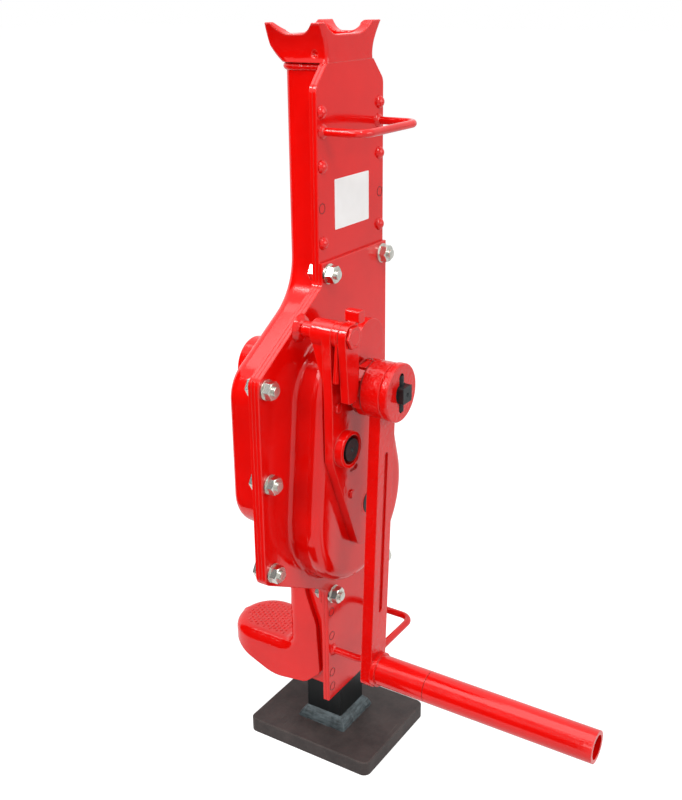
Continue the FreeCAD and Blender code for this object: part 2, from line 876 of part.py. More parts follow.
def head():
    """Square cup with four horns: a wide saddle crosses it one way and a narrow cradle the other."""
    back = housing_back
    levels = (
        (0, 0, 0, 0),
        (head_root_rise, head_root_flare, 0, head_root_back),
        (head_waist_rise, head_waist_flare, 0, head_waist_back),
        (head_shoulder_rise, head_shoulder_flare, head_top_front / 3, head_shoulder_back),
        (head_height, head_top_flare, head_top_front, head_top_back),
    )
    wires = []
    for rise, flare, forward, rearward in levels:
        half = neck_half + flare
        section = rectangle(-half, half, plate_front - forward, back + rearward, head_corner)
        wires.append(outline(section, on_xy(head_base + rise)))
    cup = Part.makeLoft(wires, True, False)
    beyond = neck_half + head_top_flare + head_corner
    middle = (plate_front + back) / 2 + cradle_back
    saddle = notch(-saddle_left, saddle_half, saddle_slope, saddle_depth, saddle_round)
    cradle = notch(middle, cradle_half, cradle_slope, cradle_depth, cradle_round)
    cup = cup.cut(prism_y(saddle, plate_front - beyond, back + beyond))
    cup = cup.cut(prism_x(cradle, -beyond, beyond))
    cup_back = back + head_top_back - head_wall
    inside = rectangle(-head_cup_half, head_cup_half, plate_front + head_wall, cup_back, head_cup_corner)
    cup = cup.cut(prism_z(inside, head_top - saddle_depth - head_cup_depth, head_top + past))
    hole_from = V(-beyond, plate_front + head_hole_back, head_base + head_hole_rise)
    hole_length = beyond - neck_half - head_root_flare + head_hole_depth
    return cup.cut(Part.makeCylinder(head_hole, hole_length, hole_from, V(1, 0, 0)))


def head_weld():
    """Weld bead round the sides and back of the channel, under the head."""
    low = head_base - head_weld_rise
    half = shaft_half
    grown = half + head_weld_leg
    bead = rectangle(-grown, grown, flange_back, housing_back + head_weld_leg, 0)
    bead = [bead[0], bead[1], bead[2][:2] + (housing_bend,), bead[3][:2] + (housing_bend,)]
    foot = rectangle(-half, half, flange_back, housing_back, 0)
    foot = [foot[0], foot[1], foot[2][:2] + (housing_bend,), foot[3][:2] + (housing_bend,)]
    middle = (low + head_base) / 2
    ridge = Part.makeLoft([outline(bead, on_xy(middle)), outline(bead, on_xy(head_base))], True, True)
    skirt = Part.makeLoft([outline(foot, on_xy(low)), outline(bead, on_xy(middle))], True, True)
    return ridge.fuse(skirt).cut(prism_z(foot, low, head_base)).removeSplitter()


def claw():
    """Forged toe: a round-ended foot under the load, with cheeks that wrap the channel's walls."""
    back = housing_back + claw_back_thick
    tip = claw_reach
    profile = [
        (back, claw_upright_top, 0),
        (back, claw_top, claw_root),
        (tip, claw_top, 0),
        (tip, claw_top - claw_lip, claw_lip),
        (claw_keel_y, body_bottom - claw_keel_drop, 3 * claw_bend),
        (claw_heel_y, body_bottom - claw_heel_drop, claw_bend),
        (claw_front_y, body_bottom + claw_front_rise, claw_bend / 2),
        (cheek_waist_y, body_bottom + cheek_waist_rise, 2 * claw_bend),
        (cheek_neck_y, body_bottom + cheek_shoulder_rise, claw_bend),
        (cheek_neck_y, claw_upright_top, 0),
    ]
    side = prism_x(profile, -claw_half, claw_half)
    plan_front = claw_front_y - claw_bend
    plan = [
        (-claw_half, plan_front, 0),
        (claw_half, plan_front, 0),
        (claw_half, tip, claw_half),
        (-claw_half, tip, claw_half),
    ]
    foot = side.common(prism_z(plan, 0, claw_upright_top))
    high = [e for e in foot.Edges if e.BoundBox.ZMin > claw_top - flat]
    rim = [e for e in high if e.BoundBox.YMin > tip - claw_half - flat]
    foot = foot.makeFillet(claw_top_edge, rim)
    channel = block(-shaft_half, shaft_half, plan_front, housing_back, 0, claw_upright_top)
    return foot.cut(channel)


def rack_guides():
    """Guide blocks in the channel: a collar at the mouth and a back pad facing the pinion."""
    inside = shaft_half - sheet
    half_x = rack_width / 2 + guide_gap
    back = rack_back + guide_gap
    bend = housing_bend - sheet
    plan = [(-inside, plate_back, 0), (inside, plate_back, 0)]
    plan += [(inside, housing_inside, bend), (-inside, housing_inside, bend)]
    guide_low = body_bottom + guide_rise
    guide_high = guide_low + guide_height
    collar = prism_z(plan, guide_low, guide_high)
    mouth = block(-half_x, half_x, plate_back - past, back, guide_low - past, guide_high + past)
    collar = collar.cut(mouth)
    pad_low = pinion_height - back_pad_half
    pad_back = housing_inside - bend
    pad = block(half_x, inside, rack_front, pad_back, pad_low, pinion_height + back_pad_half)
    return [collar, pad]


def pawl_pillar():
    """Shouldered pillar that the pawl turns on, riveted into the cover."""
    front = ratchet_front - axial_gap
    pillar = rod(pillar_axis, pillar_radius, cover_front, front - pillar_nut_height)
    return pillar.fuse(rod(pillar_axis, pillar_neck, plate_front, cover_front)).removeSplitter()


def pillar_nut():
    """Nut that keeps the pawl on its pillar."""
    back = ratchet_front - axial_gap
    front = back - pillar_nut_height
    nut = hexagon(pillar_axis, 2 * pillar_radius + bolt_radius, back, front)
    return nut.cut(rod(pillar_axis, pillar_radius + press_gap, back + past, front - past))


def pillar_spacer():
    """Spacer ring between the bracket's eye and the leaf."""
    return ring(pillar_axis, pawl_eye, pillar_radius + press_gap, bracket_front, leaf_back())


def leaf_back():
    """Station of the back of the leaf on the pillar."""
    return ratchet_back + axial_gap + leaf_thick


def pawl_leaf():
    """Leaf beside the pawl that hangs from the pillar."""
    back = leaf_back()
    front = back - leaf_thick
    x, z = pillar_axis
    lean = leaf_width / 2
    strip = [(x - leaf_width, z, 0), (x - lean - leaf_width, z - leaf_length, lean / 2)]
    strip += [(x - lean, z - leaf_length, lean / 2), (x, z, 0)]
    leaf = prism_y(strip, back, front).fuse(rod(pillar_axis, pawl_eye, back, front))
    hole = rod(pillar_axis, pillar_radius + press_gap, back + past, front - past)
    return leaf.cut(hole).removeSplitter()


def pawl():
    """Pawl: a lever that hangs beside the ratchet from the pillar, with a thumb tab like a hammer head."""
    back = ratchet_back
    front = ratchet_front
    x, z = pillar_axis
    low = z - pawl_length
    nose = polar(input_axis, math.radians(pawl_nose_at), ratchet_tip + pawl_lift_gap)
    lever = [(x - pawl_eye, z, 0), (x - pawl_toe_left, low, pawl_tab_edge)]
    lever += [(x + pawl_toe_right, low, pawl_tab_edge), nose + (0,), (x + pawl_eye, z, 0)]
    left = x + pawl_tab_offset
    right = left + pawl_tab_width
    tab_top = z + pawl_tab_rise
    tab_low = tab_top - pawl_tab_height
    neck_top = tab_low + pawl_tab_edge
    neck = [(x - pawl_eye / 2, z + pawl_eye / 2, 0), (x + pawl_eye / 2, z + pawl_eye / 2, 0)]
    neck += [(right - pawl_tab_edge, neck_top, 0), (left + pawl_tab_edge, neck_top, 0)]
    tab = rectangle(left, right, tab_low, tab_top, pawl_tab_edge)
    body = rod(pillar_axis, pawl_eye, back, front)
    body = body.fuse([prism_y(lever, back, front), prism_y(neck, back, front)])
    body = body.fuse(prism_y(tab, back + pawl_tab_back, front - pawl_tab_front))
    bore = rod(pillar_axis, pillar_radius + running_gap, back + past, front - past)
    return body.cut(bore).removeSplitter()


def ratchet_wheel():
    """Saw-toothed wheel that the pawl drops into."""
    corners = []
    for k in range(ratchet_teeth):
        direction = 2 * math.pi * k / ratchet_teeth
        corners.append(polar(input_axis, direction, ratchet_tip) + (0,))
        corners.append(polar(input_axis, direction, ratchet_root) + (0,))
    wheel = prism_y(corners, ratchet_back, ratchet_front)
    return wheel.cut(rod(input_axis, input_radius + press_gap, ratchet_back + past, ratchet_front - past))


def gear(axis, teeth, module, shift, tooth_at, y_from, y_to):
    """Involute spur gear blank with one tooth centred on a direction."""
    pitch = teeth * module / 2
    base = pitch * math.cos(pressure_angle)
    tip = tip_radius(teeth, module, shift)
    root = pitch - (dedendum - shift) * module
    lowest = max(base, root)
    half_tooth = (math.pi / 2 + 2 * shift * math.tan(pressure_angle)) / teeth
    half_tooth -= backlash * module / (2 * pitch)
    start = half_tooth + math.tan(pressure_angle) - pressure_angle
    flank = []
    for step in range(flank_steps + 1):
        radius = lowest + (tip - lowest) * step / flank_steps
        roll = math.acos(min(1.0, base / radius))
        flank.append((radius, start - math.tan(roll) + roll))
    if root < lowest:
        flank.insert(0, (root, flank[0][1]))
    corners = []
    for k in range(teeth):
        middle = tooth_at + 2 * math.pi * k / teeth
        corners += [polar(axis, middle - angle, radius) + (0,) for radius, angle in flank]
        corners += [polar(axis, middle + angle, radius) + (0,) for radius, angle in reversed(flank)]
    return prism_y(corners, y_from, y_to)


def input_shaft():
    """Crank shaft: journals, the first pinion, the load collar and a squared front end."""
    shift = shift_of(input_pinion_teeth)
    first_front = first_gear_back - first_gear_thick
    gap_at = input_direction + math.pi
    tooth_at = gap_at + math.pi / input_pinion_teeth
    tail = rear_boss_back(input_axis) - rear_boss_end - axial_gap
    shaft = rod(input_axis, input_radius, tail, cap_front)
    back = first_gear_back
    teeth = gear(input_axis, input_pinion_teeth, first_module, shift, tooth_at, back, first_front)
    shaft = shaft.fuse([teeth, rod(input_axis, collar_radius, collar_back, lining_back)])
    half = drive_square / 2
    x, z = input_axis
    square = rectangle(x - half, x + half, z - half, z + half, drive_edge)
    end = cap_front - drive_reach
    shaft = shaft.fuse(prism_y(square, end, cap_front)).cut(cross_pin_bar(press_gap)).removeSplitter()
    return centred(shaft, input_axis, end)


def cross_pin_bar(gap):
    """Upright pin through the shaft's squared end, with an optional gap round it."""
    x, z = input_axis
    half = cross_pin_length / 2
    y = cap_front + cap_slot_depth - cross_pin_radius - press_gap
    return Part.makeCylinder(cross_pin_radius + gap, cross_pin_length, V(x, y, z - half), V(0, 0, 1))


def friction_discs():
    """Two friction discs that clamp the ratchet wheel between the collar and the hub."""
    inner = input_radius + press_gap
    stations = ((lining_back, ratchet_back), (ratchet_front, hub_back))
    return [ring(input_axis, lining_radius, inner, y_from, y_to) for y_from, y_to in stations]


def crank_arm():
    """Forged crank: a round hub and a flat arm with a recessed face, hanging a little off plumb."""
    x, z = input_axis
    half = arm_width / 2
    low = z - crank_radius - arm_end
    bar = [(x - half, z, 0), (x - half, low, arm_end_round)]
    bar += [(x + half, low, arm_end_round), (x + half, z, 0)]
    narrow = arm_recess_width / 2
    recess = rectangle(x - narrow, x + narrow, z - arm_recess_to, z - arm_recess_from, narrow)
    hanging = prism_y(bar, arm_back, arm_front)
    hanging = hanging.cut(prism_y(recess, arm_front + arm_recess_depth, arm_front - past))
    hanging.rotate(V(x, 0, z), V(0, 1, 0), crank_lean)
    hub = rod(input_axis, hub_radius, hub_back, hub_front)
    hub = hub.makeChamfer(hub_edge, edges_on_plane(hub, hub_front))
    arm = hub.fuse(hanging)
    arm = arm.cut(rod(input_axis, input_radius + press_gap, hub_back + past, hub_front - past))
    handle_hole = rod(handle_axis, handle_core + press_gap, arm_back + past, arm_front - past)
    return arm.cut(handle_hole).removeSplitter()


def hub_cap():
    """Round end disc on the hub with an upright slot for the cross pin."""
    cap = rod(input_axis, cap_radius, hub_front, cap_front)
    cap = cap.makeFillet(cap_edge, edges_on_plane(cap, cap_front) + edges_on_plane(cap, hub_front))
    x, z = input_axis
    half = cap_slot_width / 2
    tall = cap_slot_length / 2
    slot = rectangle(x - half, x + half, z - tall, z + tall, half)
    cap = cap.cut(prism_y(slot, cap_front + cap_slot_depth, cap_front - past))
    return cap.cut(rod(input_axis, input_radius + press_gap, hub_front + past, cap_front - past))


def handle_spigot():
    """Fixed root of the handle: an outer tube against the arm, and the core that the grip turns on."""
    tube = rod(handle_axis, handle_radius, arm_front, seam_y)
    collar = rod(handle_axis, handle_radius + handle_collar, arm_front, arm_front - handle_collar_length)
    core = rod(handle_axis, handle_core, arm_back, handle_end + handle_core_short)
    return tube.fuse([collar, core]).removeSplitter()


def grip_sleeve():
    """Free-turning grip tube with an open front end."""
    return ring(handle_axis, handle_radius, handle_core + running_gap, seam_y - axial_gap, handle_end)


def layshaft():
    """Layshaft with the small pinion that drives the main gear."""
    shift = shift_of(lay_pinion_teeth)
    gap_at = lay_direction + math.pi
    tooth_at = gap_at + math.pi / lay_pinion_teeth
    front = main_gear_back - main_gear_thick
    end = boss_front - axial_gap
    shaft = rod(lay_axis, lay_radius, rear_boss_back(lay_axis) - rear_boss_end - axial_gap, end)
    teeth = gear(lay_axis, lay_pinion_teeth, main_module, shift, tooth_at, main_gear_back, front)
    return centred(shaft.fuse(teeth).removeSplitter(), lay_axis, end)


def first_gear():
    """First reduction gear, keyed on the layshaft."""
    shift = -shift_of(input_pinion_teeth)
    front = first_gear_back - first_gear_thick
    wheel = gear(lay_axis, first_gear_teeth, first_module, shift, input_direction, first_gear_back, front)
    return wheel.cut(rod(lay_axis, lay_radius + press_gap, first_gear_back + past, front - past))


def pinion_shaft():
    """Shaft of the rack pinion, with its six broad teeth inside the channel."""
    shift = shift_of(rack_pinion_teeth)
    tail = rear_boss_back(pinion_axis) - rear_boss_end - axial_gap
    end = bracket_front - axial_gap
    shaft = rod(pinion_axis, pinion_radius, tail, end)
    back = rack_back - plate_gap
    front = rack_front + plate_gap
    teeth = gear(pinion_axis, rack_pinion_teeth, rack_module, shift, 0.0, back, front)
    return centred(shaft.fuse(teeth).removeSplitter(), pinion_axis, end)


def main_gear():
    """Main reduction gear with a raised hub, keyed on the pinion shaft."""
    shift = -shift_of(lay_pinion_teeth)
    front = main_gear_back - main_gear_thick
    wheel = gear(pinion_axis, main_gear_teeth, main_module, shift, lay_direction, main_gear_back, front)
    hub_end = main_gear_back + main_gear_thick / 2
    wheel = wheel.fuse(rod(pinion_axis, gear_hub_radius, hub_end, main_gear_back))
    bore = rod(pinion_axis, pinion_radius + press_gap, hub_end + past, front - past)
    return wheel.cut(bore).removeSplitter()


def pieces():
    """Every node with its solids."""
    return {
        "base_plate": base_plate(),
        "rack": rack(),
        "foot_weld": foot_weld(),
        "rear_housing": rear_housing(),
        "front_plate": front_plate(),
        "gear_cover": gear_cover(),
        "head": head(),
        "head_weld": head_weld(),
        "claw": claw(),
        "upper_bail": bail(head_base - upper_bail_drop, plate_front, upper_bail_reach),
        "lower_bail": bail(body_bottom + lower_bail_rise, cover_front, lower_bail_reach),
        "plate_rivets": plate_rivets(),
        "flange_bolts": flange_bolts(),
        "flange_nuts": flange_nuts(),
        "flange_washers": flange_washers(),
        "rack_guides": rack_guides(),
        "rear_bosses": rear_bosses(),
        "bearing_bracket": bearing_bracket(),
        "bracket_screws": bracket_screws(),
        "input_bushes": shaft_bushes(input_axis, input_radius),
        "layshaft_bushes": shaft_bushes(lay_axis, lay_radius),
        "pinion_bushes": shaft_bushes(pinion_axis, pinion_radius),
        "pawl_pillar": pawl_pillar(),
        "pillar_spacer": pillar_spacer(),
        "pawl_leaf": pawl_leaf(),
        "pillar_nut": pillar_nut(),
        "pawl": pawl(),
        "input_shaft": input_shaft(),
        "cross_pin": cross_pin_bar(0),
        "ratchet_wheel": ratchet_wheel(),
        "friction_discs": friction_discs(),
        "crank_arm": crank_arm(),
        "hub_cap": hub_cap(),
        "handle_spigot": handle_spigot(),
        "grip_sleeve": grip_sleeve(),
        "layshaft": layshaft(),
        "first_gear": first_gear(),
        "pinion_shaft": pinion_shaft(),
        "main_gear": main_gear(),
    }


def write_parts():
    """Write one file per node."""
    os.makedirs("parts", exist_ok=True)
    for name, solids in pieces().items():
        shape = Part.makeCompound(solids) if isinstance(solids, list) else solids
        shape.exportStep("parts/" + name + ".step")


write_parts()
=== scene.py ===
import math

import bpy
import numpy as np
from bpy.props import FloatProperty, FloatVectorProperty, PointerProperty
from mathutils import Matrix, Vector


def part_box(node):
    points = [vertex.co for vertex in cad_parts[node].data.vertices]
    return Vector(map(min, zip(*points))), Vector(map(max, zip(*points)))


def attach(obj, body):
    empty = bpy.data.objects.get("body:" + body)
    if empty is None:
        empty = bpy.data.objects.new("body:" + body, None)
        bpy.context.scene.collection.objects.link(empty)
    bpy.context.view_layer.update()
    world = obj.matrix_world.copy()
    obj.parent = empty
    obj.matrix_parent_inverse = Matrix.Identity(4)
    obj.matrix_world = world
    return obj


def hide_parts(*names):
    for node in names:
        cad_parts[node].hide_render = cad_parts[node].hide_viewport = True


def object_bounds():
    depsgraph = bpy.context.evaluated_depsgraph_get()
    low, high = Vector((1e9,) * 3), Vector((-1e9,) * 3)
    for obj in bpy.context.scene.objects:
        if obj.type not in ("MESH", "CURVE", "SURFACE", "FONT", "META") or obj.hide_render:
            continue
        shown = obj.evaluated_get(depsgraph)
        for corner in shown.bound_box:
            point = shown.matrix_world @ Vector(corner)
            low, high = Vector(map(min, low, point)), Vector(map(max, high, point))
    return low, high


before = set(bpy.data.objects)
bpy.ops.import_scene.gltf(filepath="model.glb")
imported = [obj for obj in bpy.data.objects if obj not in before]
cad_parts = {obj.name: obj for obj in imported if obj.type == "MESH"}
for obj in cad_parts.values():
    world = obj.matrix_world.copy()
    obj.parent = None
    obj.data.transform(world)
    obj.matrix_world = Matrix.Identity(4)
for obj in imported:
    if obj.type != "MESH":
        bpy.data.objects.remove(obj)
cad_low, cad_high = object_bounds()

bl_info = {
    "name": "Rack and pinion jack",
    "version": (1, 0, 0),
    "blender": (4, 5, 0),
    "location": "View3D > Sidebar > Jack",
    "description": "Finishes, welds, forged head, tread, label and stage of the rack and pinion jack",
    "category": "Object",
}

MM = 0.001
TURN = 2 * math.pi

# How finely the surfaces are drawn: points along a path or round a section, and rows up a wall
SIDE_POINTS = 60
CORNER_STEPS = 9
COLLAR_POINTS = 24
BAIL_POINTS = 40
PILLAR_POINTS = 60
FACE_POINTS = 17
BEAD_POINTS = 20
WALL_ROWS = 38
RIM_ROWS = 6
LAND_ROWS = 10
CUP_ROWS = 9
STUD_POINTS = 10
LABEL_POINTS = 32
MARK_POINTS = 24
RIDGE_POINTS = 6

# Unevenness of a hand-laid bead: waves added up, the height of each over the one before, and their sum;
# crests of the first and how many more each next one has; and the phase that a seed and a wave add
WAVES = 5
WAVE_FALL = 0.75
WAVE_SUM = 3.05
FIRST_CRESTS = 3
MORE_CRESTS = 7
SEED_PHASE = 1.7
WAVE_PHASE = 2.3

# Face of a bead: how far its ripples bow back, in ripples, or lean on a round bead, in radians; its
# swell, over the shorter leg; how far its toe wanders, over the leg, and the seed that sets the toe
# apart from the face; and the power of the rounded square that its corners follow
RIPPLE_BOW = 1.2
RIPPLE_LEAN = 1.5
BEAD_SWELL = 0.12
TOE_WANDER = 0.06
TOE_SEED = 4
CORNER_POWER = 7

# Head: one over the share of its height at which its back corners are sharp; one over the share of the
# blind hole's radius at which the hole is deep; and the turns in which its rim and wall are settled
CORNER_PACE = 2.4
HOLE_PACE = 3
SETTLE_TURNS = 4

# Tread: distance between its rows, over the distance between its studs
ROW_SHARE = 0.75

# Longer side of the photograph in pixels, and the camera's sensor in millimetres along it
FRAME_PIXELS = 800
SENSOR = 36


def linear(code):
    """Linear red, green and blue of an sRGB hex colour."""
    srgb = np.array([int(code[i:i + 2], 16) for i in (0, 2, 4)]) / 255
    return tuple(np.where(srgb <= 0.04045, srgb / 12.92, ((srgb + 0.055) / 1.055) ** 2.4))


def size_setting(name, description, millimetres):
    """A setting that holds one length."""
    return FloatProperty(name=name, description=description, default=millimetres * MM, unit="LENGTH")


def sizes_setting(name, description, millimetres):
    """A setting that holds several lengths."""
    return FloatVectorProperty(
        name=name, description=description, size=len(millimetres),
        default=tuple(value * MM for value in millimetres), unit="LENGTH")


def number_setting(name, description, value, subtype):
    """A setting that holds a plain number of some subtype."""
    return FloatProperty(name=name, description=description, default=value, subtype=subtype)


def colour_setting(name, description, code):
    """A setting that holds a colour, given as sRGB hex."""
    return FloatVectorProperty(
        name=name, description=description, default=linear(code), subtype="COLOR", min=0, max=1)


class JackFinishes(bpy.types.PropertyGroup):
    """Colours of the finishes and the size of the marks in them."""

    enamel: colour_setting("Enamel", "Red of the enamel on the body", "e60905")
    enamel_deep: colour_setting("Thick enamel", "Deeper red where the enamel has pooled", "d80703")
    scale: colour_setting("Mill scale", "Brown grey of the rolled foot plate", "463d3b")
    scale_dark: colour_setting("Dark mill scale", "Darker patches of the foot plate", "332c2b")
    rack_black: colour_setting("Rack black", "Satin black of the rack bar", "101112")
    zinc: colour_setting("Zinc", "Bright zinc plate on the fasteners", "e4e3dd")
    label_white: colour_setting("Label white", "White of the blank vinyl label", "fcfcfb")
    peel: size_setting("Orange peel", "Spacing of the ripples in the sprayed enamel", 5)


class JackWelds(bpy.types.PropertyGroup):
    """Sizes of the weld beads."""

    ripple: size_setting("Ripple pitch", "Distance from one weld ripple to the next", 4.5)
    ripple_height: size_setting("Ripple height", "Height of a weld ripple", 0.06)
    lump_height: size_setting("Lump height", "Unevenness of a bead along its length", 0.5)
    foot_leg: size_setting("Foot weld leg", "How far the foot weld runs out over the base plate", 9.5)
    foot_rise: size_setting("Foot weld rise", "How far the foot weld runs up the rack", 14)
    collar_bend: size_setting("Collar bend", "Radius of the two corners of the bead under the head", 14)
    bail_leg: size_setting("Bail weld leg", "Leg of the fillet round each end of a bail", 3.5)
    pillar_leg: size_setting(
        "Pillar weld leg", "Leg of the fillet round the root of the pawl's pillar", 6.5)


class JackHead(bpy.types.PropertyGroup):
    """Sizes of the forged head."""

    neck_half: size_setting(
        "Neck half width", "Half the width of the head where it meets the front plate", 44)
    level: sizes_setting(
        "Levels", "Heights above the head's base at which its flare is given", (0, 6, 13, 25, 37))
    side_flare: sizes_setting(
        "Side flare", "How far each side stands out at those heights", (0, -0.5, 0.5, 5.5, 12.5))
    back_flare: sizes_setting(
        "Back flare", "How far the back stands out at those heights", (0, 5.2, 8.2, 8.8, 6.5))
    front_flare: size_setting("Front flare", "How far the front leans out at the top", 2)
    corner: size_setting("Corner", "Radius of the head's upright corners", 4)
    neck_corner: size_setting("Neck corner", "Radius of the two back corners at the head's base", 14)
    rim: size_setting("Rim", "Radius of the rim's edges", 1.4)
    wall: size_setting("Wall", "From the front of the head to the cup inside it", 10)
    cup_half: size_setting("Cup half width", "Half the width of the cup", 40)
    cup_corner: size_setting("Cup corner", "Radius of the cup's upright corners", 9)
    cup_drop: size_setting("Cup depth", "From the horns' tips down to the floor of the cup", 19.5)
    saddle: sizes_setting(
        "Saddle", "Middle, flat half width, half width at the top and depth of the wide saddle",
        (-5, 18, 44, 11.5))
    cradle: sizes_setting(
        "Cradle", "Middle, flat half width, half width at the top and depth of the narrow cradle",
        (7.25, 6, 24, 10.5))
    hole: sizes_setting(
        "Hole", "Place along the side, height above the base, radius and depth of the blind hole",
        (-12, 8.5, 3.5, 3))


class JackDetails(bpy.types.PropertyGroup):
    """Sizes of the small pieces."""

    stud_pitch: size_setting("Stud pitch", "Distance between the studs of the toe's tread", 6.5)
    stud_length: size_setting("Stud length", "Length of a stud of the tread", 5)
    stud_height: size_setting("Stud height", "Height of a stud of the tread", 0.8)
    tread_edge: size_setting("Tread edge", "From the toe's sides in to the tread", 14.5)
    tread_start: size_setting("Tread start", "From the housing's back to the first row of the tread", 27)
    toe_level: size_setting("Toe level", "Height of the toe's flat face", 124)
    label_width: size_setting("Label width", "Width of the blank label", 66)
    label_height: size_setting("Label height", "Height of the blank label", 51)
    label_drop: size_setting("Label drop", "From the head's base down to the middle of the label", 137)
    label_corner: size_setting("Label corner", "Radius of the label's corners", 1.5)
    label_thick: size_setting("Label thickness", "Thickness of the vinyl label", 0.25)
    mark_radius: size_setting(
        "Plug mark radius", "Radius of the rings left by rivets that were ground flush", 5)
    mark_ridge: size_setting("Plug mark ridge", "Height of those rings", 0.4)
    mark_side: size_setting("Plug mark side", "From the middle of the plate out to those rings", 56)
    mark_levels: sizes_setting(
        "Plug mark levels", "Heights of the rings on the lower plate", (200, 168.5, 118.5, 99))


class JackStage(bpy.types.PropertyGroup):
    """Camera, surroundings and floor."""

    azimuth: number_setting(
        "Azimuth", "Camera's turn round the jack", math.radians(-57.38), "ANGLE")
    elevation: number_setting(
        "Elevation", "Camera's height above the horizon", math.radians(21.08), "ANGLE")
    roll: number_setting(
        "Roll", "Camera's lean", math.radians(-0.59), "ANGLE")
    camera_place: FloatVectorProperty(
        name="Camera place", description="Where the camera stands",
        default=(-0.94396, -0.61415, 0.86918), subtype="TRANSLATION")
    focal_pixels: number_setting(
        "Focal length", "Focal length in pixels of the photograph", 1077.85, "PIXEL")
    ambient: number_setting(
        "Ambient", "Strength of the surroundings' soft light", 0.43, "FACTOR")
    paper: number_setting(
        "Paper", "Share of the light that the floor gives back to the jack", 0.58, "FACTOR")
    paper_seen: number_setting(
        "Paper seen", "Share of the light that the floor shows to the eye", 0.4, "FACTOR")
    glow_seen: number_setting(
        "Glow seen", "Light that the floor adds for the camera, so that it shows as white", 0.84, "FACTOR")
    glow_reflected: number_setting(
        "Glow reflected", "Light that the floor adds in reflections", 0.48, "FACTOR")


def settings(group):
    """The scene's own settings of one group."""
    return getattr(bpy.context.scene, "jack_" + group)


def feed(tree, socket, value):
    """Link a socket to another socket or to the first output of a node, or set it to a value."""
    if isinstance(value, bpy.types.Node):
        value = value.outputs[0]
    if isinstance(value, bpy.types.NodeSocket):
        tree.links.new(value, socket)
    else:
        socket.default_value = value


def add(tree, kind, inputs=None, **attributes):
    """Add a shader node with its settings, and feed its inputs."""
    made = tree.nodes.new("ShaderNode" + kind)
    for key, value in attributes.items():
        setattr(made, key, value)
    for key, value in (inputs or {}).items():
        feed(tree, made.inputs[key], value)
    return made


def rgba(rgb):
    """A colour with full opacity."""
    return (*rgb, 1.0)


def per(millimetres):
    """Texture scale at which one feature is this many millimetres."""
    return 1 / (millimetres * MM)


def new_material(name):
    """A material with one shader, its nodes, and the object's own coordinates."""
    material = bpy.data.materials.new(name)
    material.use_nodes = True
    tree = material.node_tree
    return material, tree, add(tree, "TexCoord").outputs["Object"]


def dressed(material, **sockets):
    """The material with its shader's sockets fed."""
    tree = material.node_tree
    for key, value in sockets.items():
        feed(tree, tree.nodes["Principled BSDF"].inputs[key.replace("_", " ")], value)
    return material


def edge_wear_and_highlight(tree, edge, start, most):
    """How strongly an edge is marked, as rubbed wear on mill scale and as painted highlight on enamel: it
    grows as the rounded normal turns away from the flat one, from nothing where the cosine of their angle
    is the start up to the most where it is 0.8."""
    flat = add(tree, "NewGeometry").outputs["True Normal"]
    along = add(tree, "VectorMath", {0: edge, 1: flat}, operation="DOT_PRODUCT")
    return add(tree, "MapRange", {
        "Value": along.outputs["Value"], "From Min": start, "From Max": 0.8, "To Max": most})


def red_enamel(name, grain, grain_depth, edge_round):
    """Gloss alkyd enamel sprayed on steel: a wet-looking red skin with orange peel, pooled a little
    darker in places, softly rounded and thinner over every edge with a painted highlight along it, and
    with painted shade in the tight corners.
    The grain of the steel under it, its depth and the rounding of the edges are in millimetres."""
    paint = settings("finishes")
    material, tree, place = new_material(name)
    cloud = add(tree, "TexNoise", {"Vector": place, "Scale": per(70), "Detail": 3.0})
    spread = add(tree, "MapRange", {"Value": cloud, "From Min": 0.35, "From Max": 0.7})
    tone = add(tree, "MixRGB", {
        "Fac": spread, "Color1": rgba(paint.enamel), "Color2": rgba(paint.enamel_deep)})
    speck = add(tree, "TexNoise", {"Vector": place, "Scale": per(9), "Detail": 4.0, "Roughness": 0.7})
    dirt = add(tree, "MapRange", {"Value": speck, "From Min": 0.8, "From Max": 0.84})
    soiled = add(tree, "MixRGB", {"Fac": dirt, "Color1": tone, "Color2": rgba(linear("6e0d0b"))})
    # Painted shade: ambient occlusion darkens the tight corners and gaps toward a dark red
    corner_occlusion = add(tree, "AmbientOcclusion", {"Distance": 6 * MM}, samples=6)
    corner_shade = add(tree, "MapRange", {
        "Value": corner_occlusion.outputs["AO"], "From Min": 0.42, "From Max": 0.16, "To Max": 0.85})
    corner_shaded = add(tree, "MixRGB", {"Fac": corner_shade, "Color1": soiled, "Color2": rgba(linear("4a0604"))})
    gloss = add(tree, "MapRange", {"Value": speck, "To Min": 0.06, "To Max": 0.18})
    peel = add(tree, "TexNoise", {"Vector": place, "Scale": 1 / paint.peel, "Detail": 1.0})
    rough = add(tree, "TexNoise", {"Vector": place, "Scale": per(grain), "Detail": 2.0})
    edge = add(tree, "Bevel", {"Radius": edge_round * MM}, samples=4)
    # Painted highlight: the edges of the enamel are mixed toward a pale pink, as light caught on their
    # rounding
    edge_highlighted = add(tree, "MixRGB", {
        "Fac": edge_wear_and_highlight(tree, edge, 0.95, 0.45), "Color1": corner_shaded, "Color2": rgba(linear("ff5f52"))})
    sprayed = add(tree, "Bump", {"Height": peel, "Distance": 0.04 * MM, "Strength": 1.0, "Normal": edge})
    cast = add(tree, "Bump", {
        "Height": rough, "Distance": grain_depth * MM, "Strength": 1.0, "Normal": sprayed})
    return dressed(material, Base_Color=edge_highlighted, Roughness=gloss, IOR=1.5, Normal=cast)


